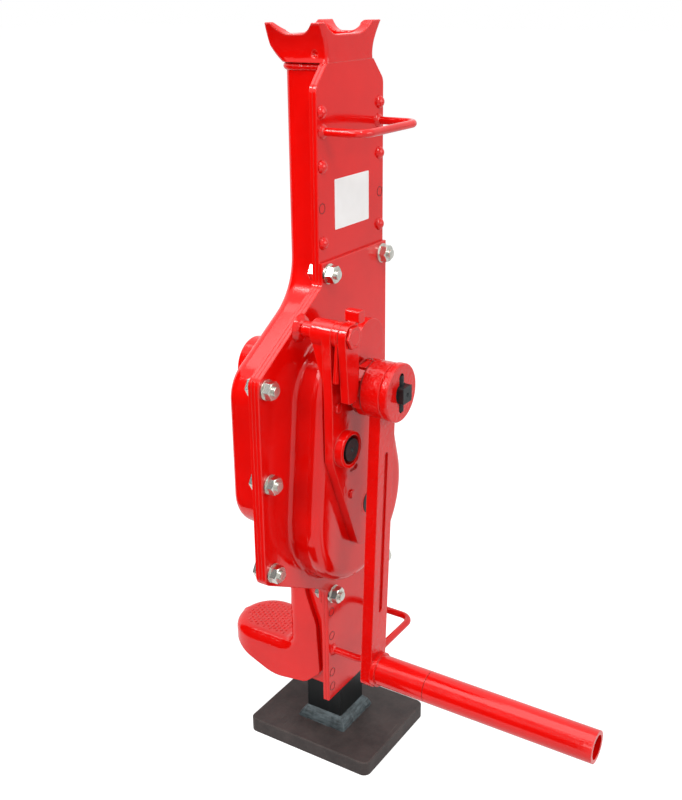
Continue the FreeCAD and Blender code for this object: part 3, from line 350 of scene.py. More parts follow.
def mill_scale():
    """Hot-rolled plate with its mill scale on: a dull brown grey skin, blotched,
    scratched by handling and rubbed lighter along its edges."""
    paint = settings("finishes")
    material, tree, place = new_material("Mill scale on rolled plate")
    blotch = add(tree, "TexNoise", {"Vector": place, "Scale": per(22), "Detail": 6.0, "Roughness": 0.65})
    spread = add(tree, "MapRange", {"Value": blotch, "From Min": 0.35, "From Max": 0.68})
    tone = add(tree, "MixRGB", {
        "Fac": spread, "Color1": rgba(paint.scale_dark), "Color2": rgba(paint.scale)})
    turned = add(tree, "Mapping", {
        "Vector": place, "Rotation": (0.0, 0.0, math.radians(24)), "Scale": (per(38), per(2.2), per(9))})
    streak = add(tree, "TexNoise", {"Vector": turned, "Scale": 1.0, "Detail": 4.0})
    scratch = add(tree, "MapRange", {"Value": streak, "From Min": 0.66, "From Max": 0.76, "To Max": 0.35})
    marked = add(tree, "MixRGB", {"Fac": scratch, "Color1": tone, "Color2": rgba(linear("7d726c"))})
    edge = add(tree, "Bevel", {"Radius": 1.6 * MM}, samples=4)
    worn = add(tree, "MixRGB", {
        "Fac": edge_wear_and_highlight(tree, edge, 0.97, 0.4), "Color1": marked, "Color2": rgba(linear("85796f"))})
    pits = add(tree, "TexNoise", {"Vector": place, "Scale": per(2.5), "Detail": 3.0})
    bump = add(tree, "Bump", {"Height": pits, "Distance": 0.15 * MM, "Strength": 0.8, "Normal": edge})
    return dressed(material, Base_Color=worn, Metallic=0.15, Roughness=0.62, Normal=bump)


def black_rack():
    """Rack bar in satin black over forged steel: near black, greasy, faintly streaked along its length."""
    paint = settings("finishes")
    material, tree, place = new_material("Satin black on forged steel")
    drawn = add(tree, "Mapping", {"Vector": place, "Scale": (per(3), per(3), per(60))})
    streak = add(tree, "TexNoise", {"Vector": drawn, "Scale": 1.0, "Detail": 4.0})
    tone = add(tree, "MixRGB", {
        "Fac": streak, "Color1": rgba(paint.rack_black), "Color2": rgba(linear("1d2021"))})
    gloss = add(tree, "MapRange", {"Value": streak, "To Min": 0.25, "To Max": 0.55})
    edge = add(tree, "Bevel", {"Radius": 1.0 * MM}, samples=4)
    bump = add(tree, "Bump", {"Height": streak, "Distance": 0.1 * MM, "Strength": 1.0, "Normal": edge})
    return dressed(
        material, Base_Color=tone, Roughness=gloss, IOR=1.5, Specular_IOR_Level=0.25, Normal=bump)


def clouded(name, light, dark, roughness, blotch, metallic=1.0):
    """Metal, or grime where it isn't metallic: one colour that clouds into another over blotches of so
    many millimetres, with fine marks in its gloss."""
    material, tree, place = new_material(name)
    cloud = add(tree, "TexNoise", {
        "Vector": place, "Scale": per(blotch), "Detail": 5.0, "Roughness": 0.6})
    spread = add(tree, "MapRange", {"Value": cloud, "From Min": 0.35, "From Max": 0.65})
    tone = add(tree, "MixRGB", {"Fac": spread, "Color1": rgba(light), "Color2": rgba(dark)})
    gloss = add(tree, "MapRange", {"Value": cloud, "To Min": 0.7 * roughness, "To Max": 1.4 * roughness})
    edge = add(tree, "Bevel", {"Radius": 0.4 * MM}, samples=4)
    marks = add(tree, "TexNoise", {"Vector": place, "Scale": per(0.9), "Detail": 2.0})
    bump = add(tree, "Bump", {"Height": marks, "Distance": 0.03 * MM, "Strength": 0.6, "Normal": edge})
    return dressed(material, Base_Color=tone, Metallic=metallic, Roughness=gloss, Normal=bump)


def brushed_weld():
    """Weld metal cleaned with a wire brush: slate grey, with dark and pale streaks that run level
    along the bead."""
    material, tree, place = new_material("Wire-brushed weld metal")
    level = add(tree, "Mapping", {"Vector": place, "Scale": (per(14), per(14), per(2.6))})
    streak = add(tree, "TexNoise", {"Vector": level, "Scale": 1.0, "Detail": 5.0, "Roughness": 0.6})
    spread = add(tree, "MapRange", {"Value": streak, "From Min": 0.3, "From Max": 0.72})
    tone = add(tree, "MixRGB", {
        "Fac": spread, "Color1": rgba(linear("2b3234")), "Color2": rgba(linear("606c70"))})
    pits = add(tree, "TexNoise", {"Vector": place, "Scale": per(3), "Detail": 3.0})
    ridged = add(tree, "Bump", {"Height": streak, "Distance": 0.3 * MM, "Strength": 0.8})
    bump = add(tree, "Bump", {"Height": pits, "Distance": 0.3 * MM, "Strength": 0.8, "Normal": ridged})
    return dressed(material, Base_Color=tone, Metallic=0.45, Roughness=0.45, Normal=bump)


def vinyl():
    """Blank self-adhesive label in white vinyl: smooth, a little shiny, faintly waved by the paint
    under it."""
    paint = settings("finishes")
    material, tree, place = new_material("White vinyl label")
    wave = add(tree, "TexNoise", {"Vector": place, "Scale": per(14), "Detail": 2.0})
    tone = add(tree, "MixRGB", {
        "Fac": wave, "Color1": rgba(paint.label_white), "Color2": rgba(linear("f3f3f1"))})
    bump = add(tree, "Bump", {"Height": wave, "Distance": 0.1 * MM, "Strength": 0.5})
    return dressed(material, Base_Color=tone, Roughness=0.35, IOR=1.46, Normal=bump)


def lining():
    """Pressed friction lining, its edge caught by the body's spray: dull brown red with paler fibres."""
    material, tree, place = new_material("Pressed friction lining")
    fibre = add(tree, "TexNoise", {"Vector": place, "Scale": per(1.2), "Detail": 4.0})
    tone = add(tree, "MixRGB", {
        "Fac": fibre, "Color1": rgba(linear("7c1612")), "Color2": rgba(linear("b3130d"))})
    bump = add(tree, "Bump", {"Height": fibre, "Distance": 0.1 * MM})
    return dressed(material, Base_Color=tone, Roughness=0.85, Normal=bump)


def felt():
    """Felt of the stage's flags: dead black, with no shine."""
    material = new_material("Black felt")[0]
    return dressed(material, Base_Color=rgba(linear("0a0a0a")), Roughness=1.0, Specular_IOR_Level=0.0)


# The enamel lies smooth on sheet, rolling on forgings, pimpled on the rough crank and rough on welds.
# Grime in a seam is a dull dark red line, zinc a pale silver with a soft cloud, gear steel a duller
# oily grey, bronze a warm gold brown, and black oxide a charcoal with a slight sheen.
FINISHES = {
    "sheet enamel": lambda: red_enamel("Red gloss enamel on pressed sheet", 60, 0.2, 0.9),
    "forged enamel": lambda: red_enamel("Red gloss enamel on forging", 9, 0.3, 1.6),
    "lumpy enamel": lambda: red_enamel("Red gloss enamel on rough casting", 3.8, 0.75, 1.2),
    "weld enamel": lambda: red_enamel("Red gloss enamel on weld", 3, 0.25, 0.5),
    "mill scale": mill_scale,
    "rack black": black_rack,
    "seam grime": lambda: clouded(
        "Grime in a painted seam", linear("7c0b09"), linear("520706"), 0.55, 4, metallic=0.0),
    "weld metal": brushed_weld,
    "zinc": lambda: clouded("Bright zinc plate", settings("finishes").zinc, linear("c4c3ba"), 0.23, 6),
    "gear steel": lambda: clouded("Oiled gear steel", linear("8c8f92"), linear("6a6d70"), 0.3, 12),
    "bronze": lambda: clouded("Bearing bronze", linear("c79a5a"), linear("9c7238"), 0.3, 8),
    "black oxide": lambda: clouded(
        "Black oxide steel", linear("34383a"), linear("222527"), 0.42, 7, metallic=0.6),
    "vinyl": vinyl,
    "lining": lining,
    "felt": felt,
}


def finish(name):
    """The material of one finish, made the first time it is asked for."""
    if name not in finish.made:
        finish.made[name] = FINISHES[name]()
    return finish.made[name]


finish.made = {}


def grid(points, wrap_across=False, poles=(False, False)):
    """Vertices and faces of a surface given as rows of points, each row closed on itself.
    The rows are joined in order, the last to the first where wrapped, and a pole closes an end row."""
    rows, count = points.shape[:2]
    vertices = points.reshape(-1, 3)
    row = np.arange(rows if wrap_across else rows - 1)[:, None]
    column = np.arange(count)[None, :]
    after_row = (row + 1) % rows
    after = (column + 1) % count
    start = row * count
    after_start = after_row * count
    corners = [start + column, start + after, after_start + after, after_start + column]
    faces = np.stack(corners, axis=-1).reshape(-1, 4)
    fans = []
    for end, closed in zip((0, rows - 1), poles):
        if closed:
            centre = points[end].mean(axis=0, keepdims=True)
            tip = np.full(count, len(vertices))
            ring = end * count + np.arange(count)
            beside = end * count + (np.arange(count) + 1) % count
            vertices = np.vstack([vertices, centre])
            fan = [beside, ring, tip] if end == 0 else [ring, beside, tip]
            fans.append(np.stack(fan, axis=-1))
    return vertices, [faces] + fans


def outward(vertices, groups):
    """Faces turned so that the closed surface holds a positive volume: the sum of the tetrahedra
    from the origin to each face."""
    volume = 0
    for group in groups:
        for k in range(1, group.shape[1] - 1):
            first, second, third = (vertices[group[:, at]] for at in (0, k, k + 1))
            volume += np.einsum("ij,ij->", first, np.cross(second, third))
    return groups if volume > 0 else [group[:, ::-1] for group in groups]


def piece(name, surfaces, body, finish_name, replaced=(), sharp=40):
    """One mesh object from closed surfaces, riding on a body of the frame.
    Edges that turn by more than the sharp angle, in degrees, stay sharp."""
    vertices = []
    faces = []
    start = 0
    for points, groups in surfaces:
        centred = points - points.mean(axis=0)
        for group in outward(centred, groups):
            faces += (group + start).tolist()
        vertices.append(points)
        start += len(points)
    mesh = bpy.data.meshes.new(name)
    mesh.from_pydata(np.vstack(vertices).tolist(), [], faces)
    mesh.shade_smooth()
    mesh.set_sharp_from_angle(angle=math.radians(sharp))
    mesh.materials.append(finish(finish_name))
    made = bpy.data.objects.new(name, mesh)
    bpy.context.scene.collection.objects.link(made)
    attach(made, body)
    if replaced:
        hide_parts(*replaced)


def uneven(along, seed):
    """Sine waves of unlike lengths added up, from -1 to 1, that close after one turn of the path.
    Each has more crests than the one before and is lower, and the seed adds a crest to them all."""
    total = 0
    for k in range(WAVES):
        crests = MORE_CRESTS * k + FIRST_CRESTS + seed
        phase = SEED_PHASE * seed + WAVE_PHASE * k
        total = total + math.pow(WAVE_FALL, k) * np.sin(TURN * crests * along + phase)
    return total / WAVE_SUM


def bead_section(along, length, leg, rise, seed):
    """Outward and upward reach of a fillet weld at each place along its path.
    The face runs from its toe to the wall, swells like half a sine, and carries crescent ripples."""
    weld = settings("welds")
    face = np.linspace(0, 1, FACE_POINTS)[None, :]
    along = along[:, None]
    swell = np.sin(math.pi * face)
    crescent = RIPPLE_BOW * (face - 0.5) ** 2
    ripples = np.round(length / weld.ripple)
    ripple = weld.ripple_height * np.cos(TURN * (ripples * along + crescent))
    lump = weld.lump_height * uneven(along, seed)
    height = swell * (BEAD_SWELL * min(leg, rise) + ripple + lump)
    slant = math.hypot(leg, rise)
    toe = leg * (1 + TOE_WANDER * uneven(along, seed + TOE_SEED))
    out = toe * (1 - face) + height * rise / slant
    up = rise * face + height * leg / slant
    corner = np.zeros((len(along), 1))
    return np.hstack([out, corner]), np.hstack([up, corner])


def heading(angle):
    """Unit directions at angles in a plane."""
    return np.stack([np.cos(angle), np.sin(angle)], axis=-1)


def boxed_path(low, high):
    """Places and outward directions along a rectangle in plan, whose direction turns on the spot at
    each corner."""
    corners = np.array([[high[0], low[1]], [high[0], high[1]], [low[0], high[1]], [low[0], low[1]]])
    run = np.linspace(0, 1, SIDE_POINTS)[:, None]
    turn = np.linspace(0, 1, CORNER_STEPS + 1)[1:-1]
    sides = [corners[k] + (corners[(k + 1) % 4] - corners[k]) * run for k in range(4)]
    stays = [np.repeat(side[-1:], len(turn), axis=0) for side in sides]
    aims = [np.concatenate([np.full(SIDE_POINTS, k), k + turn]) * math.pi / 2 for k in range(4)]
    places = np.vstack([np.vstack(pair) for pair in zip(sides, stays)])
    return places, heading(np.concatenate(aims))


def round_path(radius, count):
    """Places and outward directions round a circle."""
    aims = heading(np.linspace(0, TURN, count, endpoint=False))
    return radius * aims, aims


def collar_path(low, high, corner):
    """Places and outward directions along a U in plan: up the left side, round a corner, along the
    back, round the other corner and down the right side."""
    turn = np.linspace(math.pi, math.pi / 2, COLLAR_POINTS)
    run = np.linspace(0, 1, 3 * COLLAR_POINTS)
    near, far = low[0] + corner, high[0] - corner
    back = high[1] - corner
    side = low[1] + (back - low[1]) * run
    hubs = np.vstack([
        np.stack([np.full_like(run, near), side], axis=-1),
        np.repeat([[near, back]], COLLAR_POINTS, axis=0),
        np.stack([near + (far - near) * run, np.full_like(run, back)], axis=-1),
        np.repeat([[far, back]], COLLAR_POINTS, axis=0),
        np.stack([np.full_like(run, far), side[::-1]], axis=-1)])
    left, rear, right = (np.full_like(run, angle) for angle in (math.pi, math.pi / 2, 0))
    aims = heading(np.concatenate([left, turn, rear, turn - math.pi / 2, right]))
    return hubs + corner * aims, aims


def travel(places):
    """Share of the way along a closed path at each of its points, and the path's length."""
    steps = np.linalg.norm(np.roll(places, -1, axis=0) - places, axis=1)
    return np.concatenate([[0], np.cumsum(steps)[:-1]]) / steps.sum(), steps.sum()


# A flat face's two directions and its normal, as rows: the top of the foot and the front of the body
ON_FLOOR = np.array([[1, 0, 0], [0, 1, 0], [0, 0, 1]])
ON_FRONT = np.array([[1, 0, 0], [0, 0, 1], [0, -1, 0]])


def fillet(places, aims, seat, axes, leg, rise, seed):
    """A fillet weld as a closed ring: its section, carried along a path that lies on a flat face.
    The face has its origin at the seat, and its two directions and its normal are the rows of axes."""
    along, length = travel(places + aims * leg / 2)
    out, up = bead_section(along, length, leg, rise, seed)
    flat = places[:, None, :] + aims[:, None, :] * out[..., None]
    points = np.concatenate([flat, up[..., None]], axis=-1) @ axes
    return grid(np.asarray(seat) + points, wrap_across=True)


def rope_bead(places, aims, level, radius, seed):
    """A rounded bead with two ends: a circle carried along an open path in plan, its radius uneven
    and rippled, with ripples that lean back over the top of the bead."""
    weld = settings("welds")
    along, length = travel(places)
    around = np.linspace(0, TURN, BEAD_POINTS, endpoint=False)[None, :]
    lean = RIPPLE_LEAN * np.sin(around)
    ripple = weld.ripple_height * np.cos(TURN * length / weld.ripple * along[:, None] + lean)
    reach = radius + ripple + weld.lump_height * uneven(along[:, None], seed)
    points = np.empty(reach.shape + (3,))
    points[..., :2] = places[:, None, :] + aims[:, None, :] * (reach * np.cos(around))[..., None]
    points[..., 2] = level + reach * np.sin(around)
    return grid(points, poles=(True, True))


def tiled(surface, places):
    """Copies of one closed surface, moved to many places."""
    vertices, groups = surface
    start = len(vertices) * np.arange(len(places))[:, None, None]
    copies = (vertices[None] + places[:, None]).reshape(-1, 3)
    return copies, [(group[None] + start).reshape(-1, group.shape[1]) for group in groups]


class JACK_OT_finishes(bpy.types.Operator):
    """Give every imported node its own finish"""

    bl_idname = "jack.finishes"
    bl_label = "Finishes"

    def execute(self, context):
        nodes = {
            "forged enamel": (
                "head", "claw", "bearing_bracket", "pawl", "ratchet_wheel", "rear_bosses", "pawl_pillar",
                "pillar_spacer", "pillar_nut", "bracket_screws", "layshaft_bushes", "pinion_bushes"),
            "lumpy enamel": ("crank_arm", "hub_cap"),
            "weld enamel": ("head_weld",),
            "mill scale": ("base_plate",),
            "rack black": ("rack",),
            "weld metal": ("foot_weld",),
            "zinc": ("flange_bolts", "flange_nuts", "flange_washers"),
            "gear steel": ("rack_guides", "first_gear", "main_gear"),
            "bronze": ("input_bushes",),
            "black oxide": ("input_shaft", "cross_pin", "layshaft", "pinion_shaft"),
            "lining": ("friction_discs",),
        }
        named = {node: name for name, group in nodes.items() for node in group}
        for node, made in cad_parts.items():
            material = finish(named.get(node, "sheet enamel"))
            if not made.material_slots:
                made.data.materials.append(material)
            for slot in made.material_slots:
                slot.material = material
        return {"FINISHED"}


class JACK_OT_foot_weld(bpy.types.Operator):
    """Rippled fillet weld round the rack's foot, mitred at its corners"""

    bl_idname = "jack.foot_weld"
    bl_label = "Foot weld"

    def execute(self, context):
        weld = settings("welds")
        rack_low, rack_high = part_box("rack")
        places, aims = boxed_path(rack_low, rack_high)
        size = (np.abs(aims) ** CORNER_POWER).sum(axis=1, keepdims=True) ** (1 / CORNER_POWER)
        bead = fillet(
            places, aims / size, (0, 0, rack_low.z), ON_FLOOR, weld.foot_leg, weld.foot_rise, seed=1)
        piece("foot_weld_bead", [bead], "stand", "weld metal",
              replaced=("foot_weld",), sharp=60)
        return {"FINISHED"}


class JACK_OT_body_welds(bpy.types.Operator):
    """Bead under the head, fillets round the bails' ends and round the pawl pillar's root"""

    bl_idname = "jack.body_welds"
    bl_label = "Body welds"

    def execute(self, context):
        weld = settings("welds")
        low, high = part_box("head_weld")
        radius = (high.z - low.z) / 2
        inset = Vector((radius, radius, 0))
        places, aims = collar_path(low + inset, high - inset, weld.collar_bend)
        bead = rope_bead(places, aims, high.z - radius, radius, seed=2)
        piece("head_weld_bead", [bead], "housing", "weld enamel",
              replaced=("head_weld",), sharp=60)
        self.bail_fillets(weld.bail_leg)
        self.pillar_fillet(weld.pillar_leg)
        return {"FINISHED"}

    def bail_fillets(self, leg):
        """A ring of weld where each end of a bail meets the front of the body."""
        rings = []
        for seed, bail in enumerate(("upper_bail", "lower_bail")):
            low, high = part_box(bail)
            rod = (high.z - low.z) / 2
            places, aims = round_path(rod, BAIL_POINTS)
            for x in (low.x + rod, high.x - rod):
                seat = (x, high.y, low.z + rod)
                rings.append(fillet(places, aims, seat, ON_FRONT, leg, leg, seed))
        piece("bail_weld_beads", rings, "housing", "weld enamel", sharp=60)

    def pillar_fillet(self, leg):
        """A ring of weld where the pawl's pillar meets the cover, on whose face the washers lie too."""
        low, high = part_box("pawl_pillar")
        centre = (low + high) / 2
        centre.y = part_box("flange_washers")[1].y
        places, aims = round_path((high.x - low.x) / 2, PILLAR_POINTS)
        ring = fillet(places, aims, centre, ON_FRONT, leg, leg, seed=5)
        piece("pillar_weld_bead", [ring], "housing", "weld enamel", sharp=60)


def dip(across, sizes):
    """Depth of a saddle: flat in its middle, then a parabola up to nothing at its edge."""
    middle, flat, edge, depth = sizes
    climb = np.clip((np.abs(across - middle) - flat) / (edge - flat), 0, 1)
    return depth * (1 - climb ** 2)


class JACK_OT_head(bpy.types.Operator):
    """Forged head: a flared cup whose rim dips between four horns"""

    bl_idname = "jack.head"
    bl_label = "Head"

    def execute(self, context):
        low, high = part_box("head")
        loop, aims = boxed_path((-1, -1), (1, 1))
        points = self.surface(settings("head"), low.z, high.z, loop, aims)
        piece("forged_head", [grid(points, poles=(True, True))], "housing",
              "forged enamel", replaced=("head",), sharp=50)
        return {"FINISHED"}

    def outside(self, head, rise, loop, aims):
        """Plan of the outer wall at a height: a rectangle with round corners, whose half width and back
        follow polynomials through the flares and whose back corners sharpen as it rises."""
        flares = (head.side_flare, head.back_flare)
        side, back = (np.polyval(np.polyfit(head.level, flare, len(flare) - 1), rise) for flare in flares)
        share = rise / head.level[-1]
        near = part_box("front_plate")[0].y - head.front_flare * share ** 2
        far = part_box("rear_housing")[1].y + back
        sharpened = np.clip(CORNER_PACE * share, 0, 1)
        back_bend = head.neck_corner + (head.corner - head.neck_corner) * sharpened
        bend = np.where(loop[:, 1] > 0, back_bend, head.corner)
        x = loop[:, 0] * (head.neck_half + side - bend) + bend * aims[:, 0]
        along = (loop[:, 1] + 1) / 2
        y = (near + head.corner) * (1 - along) + (far - back_bend) * along + bend * aims[:, 1]
        return x, y

    def inside(self, head, loop, aims):
        """Plan of the cup: a rectangle with round corners."""
        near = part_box("front_plate")[0].y + head.wall
        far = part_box("rear_housing")[1].y + head.back_flare[-1] - head.wall
        bend = head.cup_corner
        x = loop[:, 0] * (head.cup_half - bend) + bend * aims[:, 0]
        y = (near + far) / 2 + loop[:, 1] * ((far - near) / 2 - bend) + bend * aims[:, 1]
        return x, y

    def surface(self, head, base, top, loop, aims):
        """Rows from the base up the outer wall, over the rim's two rounded edges and down into the cup.
        The rim's height follows from where the leaning wall ends, so the two are settled in turns."""
        def roof(x, y):
            """Height of the rim at places in plan."""
            return top - np.maximum(dip(x, head.saddle), dip(y, head.cradle))

        reach = np.full(len(loop), head.level[-1])
        for _ in range(SETTLE_TURNS):
            reach = roof(*self.outside(head, reach, loop, aims)) - base
        rise = np.linspace(0, 1, WALL_ROWS)[:, None] * (reach - head.rim)
        wall_x, wall_y = self.outside(head, rise, loop, aims)
        middle, height, radius, depth = head.hole
        nearness = 1 - np.hypot(wall_y - middle, rise - height) / radius
        wall_x = wall_x + np.where(wall_x < 0, depth * np.clip(HOLE_PACE * nearness, 0, 1), 0)
        wall = np.stack([wall_x, wall_y, base + rise], axis=-1)
        turn = np.linspace(0, math.pi / 2, RIM_ROWS)[:, None]
        rim_x, rim_y = self.outside(head, reach, loop, aims)
        cup_x, cup_y = self.inside(head, loop, aims)
        gap = np.hypot(cup_x - rim_x, cup_y - rim_y)
        inward = np.concatenate([
            head.rim * (1 - np.cos(turn)) / gap,
            np.linspace(head.rim / gap, 1 - head.rim / gap, LAND_ROWS)[1:-1],
            1 - head.rim * (1 - np.sin(turn)) / gap])
        level = np.zeros((LAND_ROWS - 2, 1))
        sunk = np.concatenate([head.rim * (1 - np.sin(turn)), level, head.rim * (1 - np.cos(turn))])
        land_x = rim_x + (cup_x - rim_x) * inward
        land_y = rim_y + (cup_y - rim_y) * inward
        land = np.stack([land_x, land_y, roof(land_x, land_y) - sunk], axis=-1)
        floor = top - head.cup_drop
        fall = np.linspace(0, 1, CUP_ROWS)[1:, None]
        cup_z = land[-1, :, 2] * (1 - fall) + floor * fall
        cup = np.stack(np.broadcast_arrays(cup_x, cup_y, cup_z), axis=-1)
        return np.concatenate([wall, land[1:], cup])


class JACK_OT_tread(bpy.types.Operator):
    """Low studs on the toe of the claw"""

    bl_idname = "jack.tread"
    bl_label = "Tread"

    def execute(self, context):
        studs = tiled(self.stud(), self.places())
        piece("toe_studs", [studs], "housing", "forged enamel", sharp=80)
        return {"FINISHED"}

    def stud(self):
        """A lens, two thirds as wide as it is long: four rings that narrow as they rise, with its foot
        under the toe's face."""
        detail = settings("details")
        share = np.array([1, 0.94, 0.66, 0.3])[:, None]
        level = np.array([-0.3, 0.1, 0.75, 1])[:, None] * detail.stud_height
        around = np.linspace(0, TURN, STUD_POINTS, endpoint=False)[None, :]
        x = share * np.cos(around) * detail.stud_length / 2
        y = share * np.sin(around) * detail.stud_length / 3
        return grid(np.stack(np.broadcast_arrays(x, y, level), axis=-1), poles=(True, True))

    def places(self):
        """Staggered rows over the flat of the toe, kept inside its sides and its round end."""
        detail = settings("details")
        low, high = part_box("claw")
        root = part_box("rear_housing")[1].y
        pitch = detail.stud_pitch
        half = (high.x - low.x) / 2
        most = math.ceil(half / pitch)
        rows = np.arange(0, high.y - root, pitch * ROW_SHARE)
        columns = np.arange(-most, most + 1) * pitch
        x = columns[None, :] + (np.arange(len(rows)) % 2)[:, None] * pitch / 2
        y = np.broadcast_to((root + rows)[:, None], x.shape)
        beyond = np.maximum(y - (high.y - half), 0)
        kept = (np.hypot(x, beyond) < half - detail.tread_edge) & (y > root + detail.tread_start)
        return np.stack([x[kept], y[kept], np.full(kept.sum(), detail.toe_level)], axis=-1)


class JACK_OT_plate_marks(bpy.types.Operator):
    """Blank label and the rings of flush rivets on the front of the body"""

    bl_idname = "jack.plate_marks"
    bl_label = "Plate marks"

    def execute(self, context):
        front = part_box("front_plate")[0].y
        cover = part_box("flange_washers")[1].y
        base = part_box("head_weld")[1].z
        self.label(front, base)
        self.rings(front, cover, base)
        return {"FINISHED"}

    def label(self, front, base):
        """A thin slab with round corners: one outline at its back and one at its front. The outline
        starts a quarter of a step past the axis, so that every point belongs to one corner."""
        detail = settings("details")
        bend = detail.label_corner
        step = TURN / LABEL_POINTS
        aims = heading(np.linspace(0, TURN, LABEL_POINTS, endpoint=False) + step / 4)
        half = np.array([detail.label_width, detail.label_height]) / 2 - bend
        outline = np.sign(aims) * half + bend * aims
        layers = np.stack([
            np.stack([outline[:, 0], np.full(LABEL_POINTS, y), outline[:, 1]], axis=-1)
            for y in (front + detail.label_thick, front - detail.label_thick)])
        layers[..., 2] += base - detail.label_drop
        piece("blank_label", [grid(layers, poles=(True, True))], "housing", "vinyl")

    def rings(self, front, cover, base):
        """Half-sunk rings: a small circle carried round a larger one."""
        detail = settings("details")
        around = np.linspace(0, TURN, MARK_POINTS, endpoint=False)[:, None]
        section = np.linspace(0, TURN, RIDGE_POINTS, endpoint=False)[None, :]
        reach = detail.mark_radius + detail.mark_ridge * np.cos(section)
        x, z = reach * np.cos(around), reach * np.sin(around)
        y = -detail.mark_ridge * np.sin(section)
        ring = grid(np.stack(np.broadcast_arrays(x, y, z), axis=-1), wrap_across=True)
        side = detail.mark_side
        places = [(x, front, base - detail.label_drop) for x in (-side, side)]
        places += [(x, cover, z) for x in (-side, side) for z in detail.mark_levels]
        piece("plug_marks", [tiled(ring, np.array(places))], "housing", "seam grime")


# Lamps: place, width and height in metres, and power in watts
LAMPS = {
    "top_softbox": ((-0.3, 0.3, 2.5), 1.8, 1.8, 22),
    "left_softbox": ((-2.2, 0.6, 1.7), 1.2, 1.6, 30),
    "front_softbox": ((0.4, -2.4, 1.3), 1.6, 1.6, 22),
    "front_window": ((-0.8, -0.95, 2.1), 0.3, 0.5, 9),
    "back_window": ((-1.25, 0.95, 1.9), 0.25, 0.45, 8),
}

# Black flags: centre, width and height in metres
FLAGS = {
    "housing_flag": ((-0.37, 0.25, 0.36), 1.1, 0.9),
    "crank_flag": ((-0.2, -0.04, 0.11), 0.14, 0.28),
}

# Half the side of the floor in metres
FLOOR_REACH = 20.0


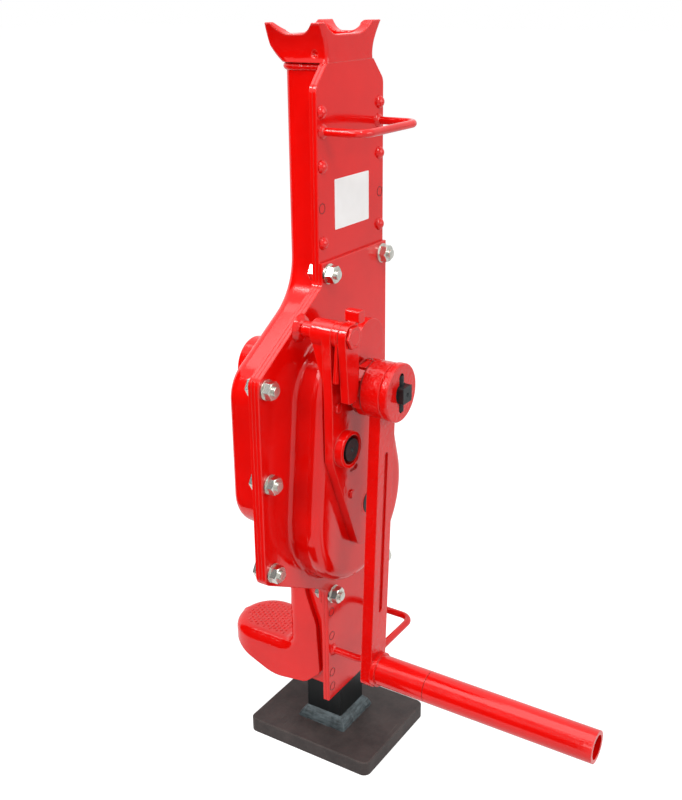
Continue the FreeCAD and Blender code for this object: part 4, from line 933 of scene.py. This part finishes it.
class JACK_OT_stage(bpy.types.Operator):
    """Pale floor, soft lamps, black flags, surroundings and the camera"""

    bl_idname = "jack.stage"
    bl_label = "Stage"

    def execute(self, context):
        stage = settings("stage")
        scene = context.scene
        scene.view_settings.view_transform = "Standard"
        self.surroundings(scene, stage.ambient)
        self.floor(scene, stage)
        for name, flag in FLAGS.items():
            self.flag(scene, name, *flag)
        for name, lamp in LAMPS.items():
            self.lamp(scene, name, *lamp)
        self.camera(scene, stage)
        return {"FINISHED"}

    def surroundings(self, scene, ambient):
        """White to the camera and in reflections, and a softer light on everything else."""
        world = bpy.data.worlds.new("White studio")
        world.use_nodes = True
        tree = world.node_tree
        tree.nodes.clear()
        path = add(tree, "LightPath")
        seen = add(tree, "Math", {
            0: path.outputs["Is Camera Ray"], 1: path.outputs["Is Glossy Ray"]}, operation="MAXIMUM")
        shown = add(tree, "Math", {0: seen, 1: path.outputs["Is Transmission Ray"]}, operation="MAXIMUM")
        soft = add(tree, "Background", {"Color": rgba((1, 1, 1)), "Strength": ambient})
        white = add(tree, "Background", {"Color": rgba((1, 1, 1)), "Strength": 1.0})
        mix = add(tree, "MixShader", {0: shown, 1: soft, 2: white})
        add(tree, "OutputWorld", {"Surface": mix})
        scene.world = world

    def sheet(self, scene, name, corners):
        """A flat stage piece with four corners."""
        mesh = bpy.data.meshes.new(name)
        mesh.from_pydata(corners, [], [(0, 1, 2, 3)])
        made = bpy.data.objects.new(name, mesh)
        scene.collection.objects.link(made)
        return made

    def floor(self, scene, stage):
        """White paper: to the eye it glows a little, so it stays white and still takes the shadow."""
        corners = [(FLOOR_REACH * x, FLOOR_REACH * y, 0) for x, y in ((-1, -1), (1, -1), (1, 1), (-1, 1))]
        made = self.sheet(scene, "floor", corners)
        material = bpy.data.materials.new("White paper")
        material.use_nodes = True
        tree = material.node_tree
        tree.nodes.clear()
        path = add(tree, "LightPath")
        clear = add(tree, "Math", {
            0: path.outputs["Is Camera Ray"], 1: path.outputs["Is Transmission Ray"]}, operation="MAXIMUM")
        seen = add(tree, "Math", {0: clear, 1: path.outputs["Is Glossy Ray"]}, operation="MAXIMUM")
        strength = add(tree, "MapRange", {
            "Value": clear, "To Min": stage.glow_reflected, "To Max": stage.glow_seen})
        paper = add(tree, "BsdfDiffuse", {"Color": rgba((stage.paper,) * 3)})
        dim = add(tree, "BsdfDiffuse", {"Color": rgba((stage.paper_seen,) * 3)})
        glow = add(tree, "Emission", {"Color": rgba((1, 1, 1)), "Strength": strength})
        shown = add(tree, "AddShader", {0: dim, 1: glow})
        mix = add(tree, "MixShader", {0: seen, 1: paper, 2: shown})
        add(tree, "OutputMaterial", {"Surface": mix})
        made.data.materials.append(material)

    def flag(self, scene, name, centre, width, height):
        """Black felt that faces the jack and that only reflections see, so that the left sides stay
        deep red."""
        toward = Vector(centre[:2] + (0,)).normalized()
        side = Vector((-toward.y, toward.x, 0)) * width / 2
        rise = Vector((0, 0, height / 2))
        foot, top = Vector(centre) - rise, Vector(centre) + rise
        made = self.sheet(scene, name, [foot - side, foot + side, top + side, top - side])
        for ray in ("camera", "diffuse", "shadow", "transmission", "volume_scatter"):
            setattr(made, "visible_" + ray, False)
        made.data.materials.append(finish("felt"))

    def lamp(self, scene, name, place, width, height, power):
        """A soft rectangular lamp that faces the middle of the jack."""
        target = (cad_low + cad_high) / 2
        data = bpy.data.lights.new(name, "AREA")
        data.shape = "RECTANGLE"
        data.size = width
        data.size_y = height
        data.energy = power
        made = bpy.data.objects.new(name, data)
        made.location = place
        made.rotation_euler = (Vector(place) - target).to_track_quat("Z", "Y").to_euler()
        scene.collection.objects.link(made)

    def camera(self, scene, stage):
        """Camera fitted to the photograph: back along its azimuth and elevation, then rolled."""
        turn, tilt, lean = stage.azimuth, stage.elevation, stage.roll
        level = math.cos(tilt)
        back = Vector((math.sin(turn) * level, -math.cos(turn) * level, math.sin(tilt)))
        right = Vector((0, 0, 1)).cross(back).normalized()
        up = back.cross(right)
        rolled = right * math.cos(lean) + up * math.sin(lean)
        data = bpy.data.cameras.new("camera")
        data.sensor_width = SENSOR
        data.lens = stage.focal_pixels * SENSOR / FRAME_PIXELS
        made = bpy.data.objects.new("camera", data)
        made.matrix_world = Matrix((rolled, back.cross(rolled), back)).transposed().to_4x4()
        made.location = stage.camera_place
        scene.collection.objects.link(made)
        scene.camera = made


class JACK_PT_panel(bpy.types.Panel):
    """Lists the jack's pieces and settings"""

    bl_idname = "JACK_PT_panel"
    bl_label = "Jack"
    bl_space_type = "VIEW_3D"
    bl_region_type = "UI"
    bl_category = "Jack"

    def draw(self, context):
        for name in GROUPS:
            box = self.layout.box()
            for key in settings(name).bl_rna.properties.keys():
                if key not in ("rna_type", "name"):
                    box.prop(settings(name), key)
        for step in STEPS:
            self.layout.operator(step.bl_idname)


GROUPS = {
    "finishes": JackFinishes, "welds": JackWelds, "head": JackHead, "details": JackDetails,
    "stage": JackStage}
STEPS = (
    JACK_OT_finishes, JACK_OT_foot_weld, JACK_OT_body_welds, JACK_OT_head, JACK_OT_tread,
    JACK_OT_plate_marks, JACK_OT_stage)


def register():
    """Add the settings to the scene and the operators and panel to Blender."""
    for name, group in GROUPS.items():
        bpy.utils.register_class(group)
        setattr(bpy.types.Scene, "jack_" + name, PointerProperty(type=group))
    for step in STEPS + (JACK_PT_panel,):
        bpy.utils.register_class(step)


def unregister():
    """Take them out again."""
    for step in (JACK_PT_panel,) + STEPS[::-1]:
        bpy.utils.unregister_class(step)
    for name, group in GROUPS.items():
        delattr(bpy.types.Scene, "jack_" + name)
        bpy.utils.unregister_class(group)


def main():
    register()
    for step in STEPS:
        group, name = step.bl_idname.split(".")
        getattr(getattr(bpy.ops, group), name)()


if __name__ == "__main__":
    main()
